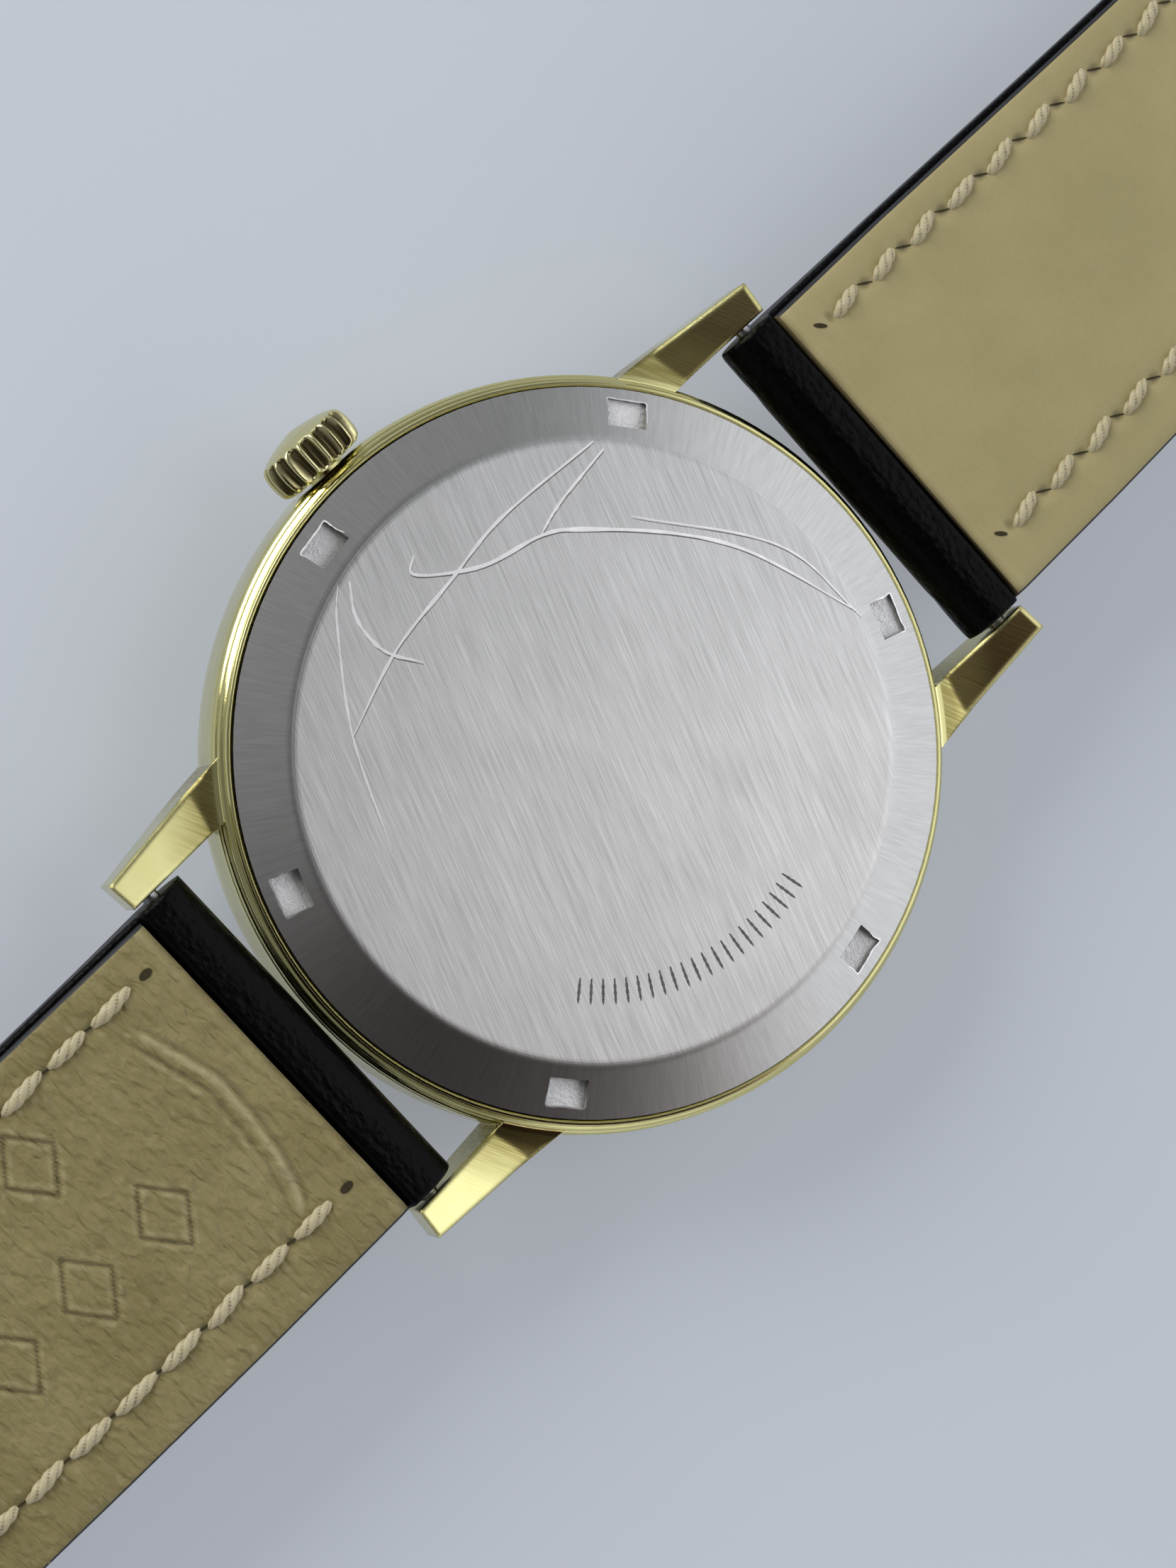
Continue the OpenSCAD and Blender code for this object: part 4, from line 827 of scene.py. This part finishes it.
STEEL_BACK = brushed_case_back()
GOLD_CASE = gold_plate("gold_plate_polished", "#dcd79c", 0.09, lug_grain_and_root_shade=True)
GOLD_CROWN = gold_plate("gold_plate_crown", "#e2dcae", 0.14, fluted=True)
GOLD = gold_plate("gold_plate", "#dcd69a", 0.12)
STEEL = plain_metal("machined_steel", "#c6c6c4", 0.28, 0.3, "#b4b4b3")
BRASS = plain_metal("gilt_brass", "#dcbd74", 0.30, 0.3, "#cfae62")
BLUED = plain_metal("blued_spring_steel", "#4d5f8f", 0.25, 0.2, "#3c4a78")
PLATE = striped_plate()
CALF = calf("black_calf_box_grain", "#010102", 0.33, 1.0)
EDGE = matt("edge_paint_black", "#1c1e21", "#101113", 3.0, 0.5, 0.5)
CUT = matt("cut_leather_edge", "#7c6f48", "#5b5033", 5.0, 0.8, 0.6)
LINING_12 = nubuck("nubuck_lining_smooth", "#b5a877", "#aa9e6e", 0.06)
# the wrinkled lining is the smooth one's nubuck in a darker colour: painted shade
LINING_6 = nubuck("nubuck_lining_wrinkled", "#9a8e5e", "#857949", 1.0)
THREAD = waxed_thread()
SLIT_SHADOW = matt("awl_slit_shadow", "#4a4020", "#1c170b", 5.0, 0.9)
BLACK_THREAD = matt("black_polyester_thread", "#1b1b1d", "#0d0d0f", 6.0, 0.5, 0.6)
# white steel for real scratches and burrs, with their glint painted in
SCRATCH_GLINT = plain_metal("scratch_in_steel_painted_glint", "#ffffff", 0.36, 0.6, "#f0f0ee")
# darker steel for the painted shadow beside each scratch
SCRATCH_SHADOW = plain_metal("shaded_side_of_scratch", "#8f8e8a", 0.5, 0.5, "#777672")
ENGRAVED = plain_metal("engraved_line_in_steel", "#807e79", 0.5, 0.5, "#6b6964")
RUBBER = matt("black_rubber", "#202022", "#141415", 3.0, 0.7)
CRYSTAL = acrylic()
DIAL = sunray_dial()
RUBY = ruby()

FINISHES = {
    "gold_plate": GOLD, "back_steel": STEEL_BACK, "steel": STEEL, "movement_plate": PLATE, "wheel_brass": BRASS,
    "spring_steel": BLUED, "crystal": CRYSTAL, "dial": DIAL, "ruby": RUBY, "rubber": RUBBER,
    "strap_leather": CALF, "lining_leather": LINING_6, "thread": THREAD,
}
OWN = {"mid_case": GOLD_CASE, "crown": GOLD_CROWN}
for part in frame["record"]["subparts"]:
    node = part["node"]
    piece = frame["nodes"][node]
    piece.data.materials.clear()
    piece.data.materials.append(OWN.get(node, FINISHES[part["material_slot"]]))

# ---- leather pieces ----
for side, strap in (("12", SHORT), ("6", LONG)):
    body = "strap_" + side
    outer = strap_outer(body + "_calf", strap, CALF)
    skin = lining(body + "_nubuck", strap, [LINING_12 if strap is SHORT else LINING_6, EDGE, CUT])
    if strap is LONG:
        # punched holes
        ring = np.linspace(0, 2 * np.pi, 28, endpoint=False)
        round_hole = np.stack([HOLE_R * np.cos(ring), HOLE_R * np.sin(ring)], -1)
        tools = [prism(round_hole - (0, y), -12.0, 3.0) for y in HOLES]
    else:
        # slot for the tongue
        corner = np.array([(-1.1, -3.2), (1.1, -3.2), (1.1, 2.8), (-1.1, 2.8)]) + (0, BUCKLE_Y)
        tools = [prism(corner, -10.0, -1.0)]
    for rings in tools:
        tool = solid_of("punch", rings, CUT)
        cut(outer, tool)
        cut(skin, tool)
        bpy.data.objects.remove(tool)
    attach(outer, body)
    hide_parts(body + "_outer")
    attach(skin, body)
    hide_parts(body + "_lining")
    sewn = thread(body + "_thread", strap, 16 if strap is SHORT else 5, [THREAD, SLIT_SHADOW, BLACK_THREAD])
    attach(sewn, body)
    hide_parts(body + "_stitching")
for node, body in (("fixed_keeper", "strap_12"), ("free_keeper", "free_keeper")):
    loop = keeper(node, CALF)
    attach(loop, body)
    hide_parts(node)

shell = crown_shell("crown_fluted", GOLD_CROWN)
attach(shell, "crown")
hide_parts("crown")

# ---- wear, with painted glint and shadow, and a plain engraved scale on the case back ----
SCRATCHES = [
    ([(-10.1, 9.24), (-10.44, 3.76), (-9.98, 0.16), (-9.41, -3.77), (-8.0, -7.75)], 0.15),
    ([(-9.54, 9.35), (-9.15, 6.24), (-8.7, 4.57)], 0.14),
    ([(-11.9, -0.34), (-11.21, -0.85), (-9.49, 1.63), (-8.67, 4.54),
      (-7.68, 6.07), (-4.65, 9.19), (-1.57, 11.32), (3.59, 13.2)], 0.17),
    ([(-6.54, 8.23), (-0.95, 12.5), (3.97, 13.2)], 0.09),
    ([(-13.2, -3.72), (-11.9, -4.99), (-8.0, -7.75), (-3.27, -9.86)], 0.10),
    ([(-13.0, -3.22), (-11.56, -4.12), (-9.76, -4.16), (-8.22, -3.22)], 0.16),
]
NOTCH_ANGLES = [131 - 60 * i for i in range(6)]


def notch_rim(angle):
    """Burr beside a wrench notch: two sides of a rectangle 1.8 by 1.28 about the notch, wandering a little."""
    rng = np.random.default_rng(angle + 400)
    corner = np.array([(-0.64, -0.9), (0.64, -0.9), (0.64, 0.9), (-0.64, 0.9), (-0.64, -0.9)])
    steps = np.linspace(0, 1, 4, endpoint=False)[:, None]
    path = np.concatenate([corner[i] + (corner[i + 1] - corner[i]) * steps for i in range(4)])
    path = (path * (1 + 0.03 * rng.standard_normal((16, 1))) + (NOTCH_R, 0))[int(rng.integers(0, 5)):][:9]
    c, s = math.cos(math.radians(angle)), math.sin(math.radians(angle))
    return path @ np.array([(c, s), (-s, c)])


# the scratches and the burrs by the notches are real wear, drawn in white steel brighter than the case back: a painted
# glint
lines = [(line, width, 0.006 + 0.0007 * i) for i, (line, width) in enumerate(SCRATCHES)]
# beside each scratch, a little lower, a darker ribbon of painted shadow
sides = [(np.array(line) + (0.09, -0.05), width * 0.5, 0.004) for line, width in SCRATCHES]
scratches = ribbons("case_back_scratches", lines, SCRATCH_GLINT)
scratch_shadows = ribbons("case_back_scratch_shadows", sides, SCRATCH_SHADOW)
burrs = ribbons("case_back_notch_burrs", [(notch_rim(a), 0.07, 0.005) for a in NOTCH_ANGLES], SCRATCH_GLINT)
for wear in (scratches, scratch_shadows, burrs):
    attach(wear, "case_back")
marks = []
for i, angle in enumerate(np.radians(np.linspace(-49, 14, 22))):
    way = np.array([math.cos(angle), math.sin(angle)])
    marks.append(([way * 10.0, way * 11.15], 0.13, 0.004))
scale = ribbons("case_back_engraved_scale", marks, ENGRAVED)
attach(scale, "case_back")


# ---- room, light and camera ----
def room():
    """A pale floor that glows a little, so that shadows stay light, and a soft world: bright on one side and
    overhead, grey around and at the horizon, and dark over the 6 o'clock side. Each part is a smooth lobe."""
    around = np.linspace(0, 2 * np.pi, 96, endpoint=False)
    disc = np.stack([TABLE_R * np.cos(around), TABLE_R * np.sin(around), np.full(96, FLOOR - 0.02)], -1)
    mesh = bpy.data.meshes.new("table")
    mesh.from_pydata((disc * MM).tolist(), [], [list(range(96))])
    table = bpy.data.objects.new("table", mesh)
    bpy.context.scene.collection.objects.link(table)
    m, t, s, place = begin("pale_table_lacquer", "#b0b6be", 0.9, Specular_IOR_Level=0.05, Emission_Strength=0.25)
    cloud = add(t, "TexNoise", {"Vector": place, "Scale": 0.01, "Detail": 2.0})
    feed(s, Base_Color=add(t, "Mix", {"Factor": cloud, 6: linear("#b0b6be"), 7: linear("#b7bdc6")}, out=2,
        data_type="RGBA"))
    s.inputs["Emission Color"].default_value = linear("#e8eef8")
    mesh.materials.append(m)
    world = bpy.data.worlds.new("soft_studio")
    bpy.context.scene.world = world
    world.use_nodes = True
    w = world.node_tree
    way = add(w, "TexCoord", out="Generated")

    def lobe(direction, low, high, size):
        """Radiance that rises smoothly from 0 to size as the way turns towards a direction."""
        dot = add(w, "VectorMath", {0: way, 1: direction}, out="Value", operation="DOT_PRODUCT")
        return add(w, "MapRange", {"Value": dot, "From Min": low, "From Max": high, "To Max": size},
            interpolation_type="SMOOTHSTEP")

    window = lobe((0.799, 0.603, 0.0), 0.14, 0.39, 0.98)
    overhead = lobe((0.300, 0.240, 0.923), 0.962, 0.998, 1.38)
    grey = add(w, "Math", {0: add(w, "Math", {0: window, 1: overhead}, operation="ADD"), 1: AROUND},
        operation="ADD")
    shade = lobe((0.420, -0.280, 0.863), 0.83, 0.92, 0.96)
    left = add(w, "Math", {0: 1.0, 1: shade}, operation="SUBTRACT")
    ceiling = add(w, "Math", {0: grey, 1: left}, operation="MULTIPLY")
    up = add(w, "SeparateXYZ", {0: way}).node.outputs["Z"]
    high = add(w, "MapRange", {"Value": up, "From Min": 0.10, "From Max": 0.52}, interpolation_type="SMOOTHSTEP")
    total = add(w, "Mix", {"Factor": high, 2: HORIZON, 3: ceiling}, data_type="FLOAT")
    shell = w.nodes["Background"]
    w.links.new(add(w, "Mix", {"Factor": shade, 6: linear(WHITE_SKY), 7: linear(WARM_SHADE)}, out=2,
        data_type="RGBA"), shell.inputs["Color"])
    w.links.new(total, shell.inputs["Strength"])
    lamp = bpy.data.lights.new("soft_box", "AREA")
    lamp.shape, lamp.size, lamp.size_y, lamp.energy = "RECTANGLE", 0.55, 0.55, 4.6
    lamp.color = (1.0, 0.99, 0.97)
    box = bpy.data.objects.new("soft_box", lamp)
    bpy.context.scene.collection.objects.link(box)
    box.location = (-0.72, -0.10, 0.38)
    box.rotation_mode = "QUATERNION"
    box.rotation_quaternion = box.location.to_track_quat("Z", "Y")


def camera():
    """Looks down on the case back from the 6 o'clock and crown side."""
    lens = bpy.data.cameras.new("camera")
    lens.lens, lens.sensor_width = 82.6, 36.0
    lens.clip_start, lens.clip_end = 0.005, 20.0
    view = bpy.data.objects.new("camera", lens)
    bpy.context.scene.collection.objects.link(view)
    view.matrix_world = Matrix((
        (0.6626, -0.7308, -0.1642, -0.02525),
        (0.6925, 0.6812, -0.2376, -0.03893),
        (0.2855, 0.0437, 0.9574, 0.15115),
        (0, 0, 0, 1)))
    bpy.context.scene.camera = view


room()
camera()
bpy.context.scene.view_settings.view_transform = "Standard"
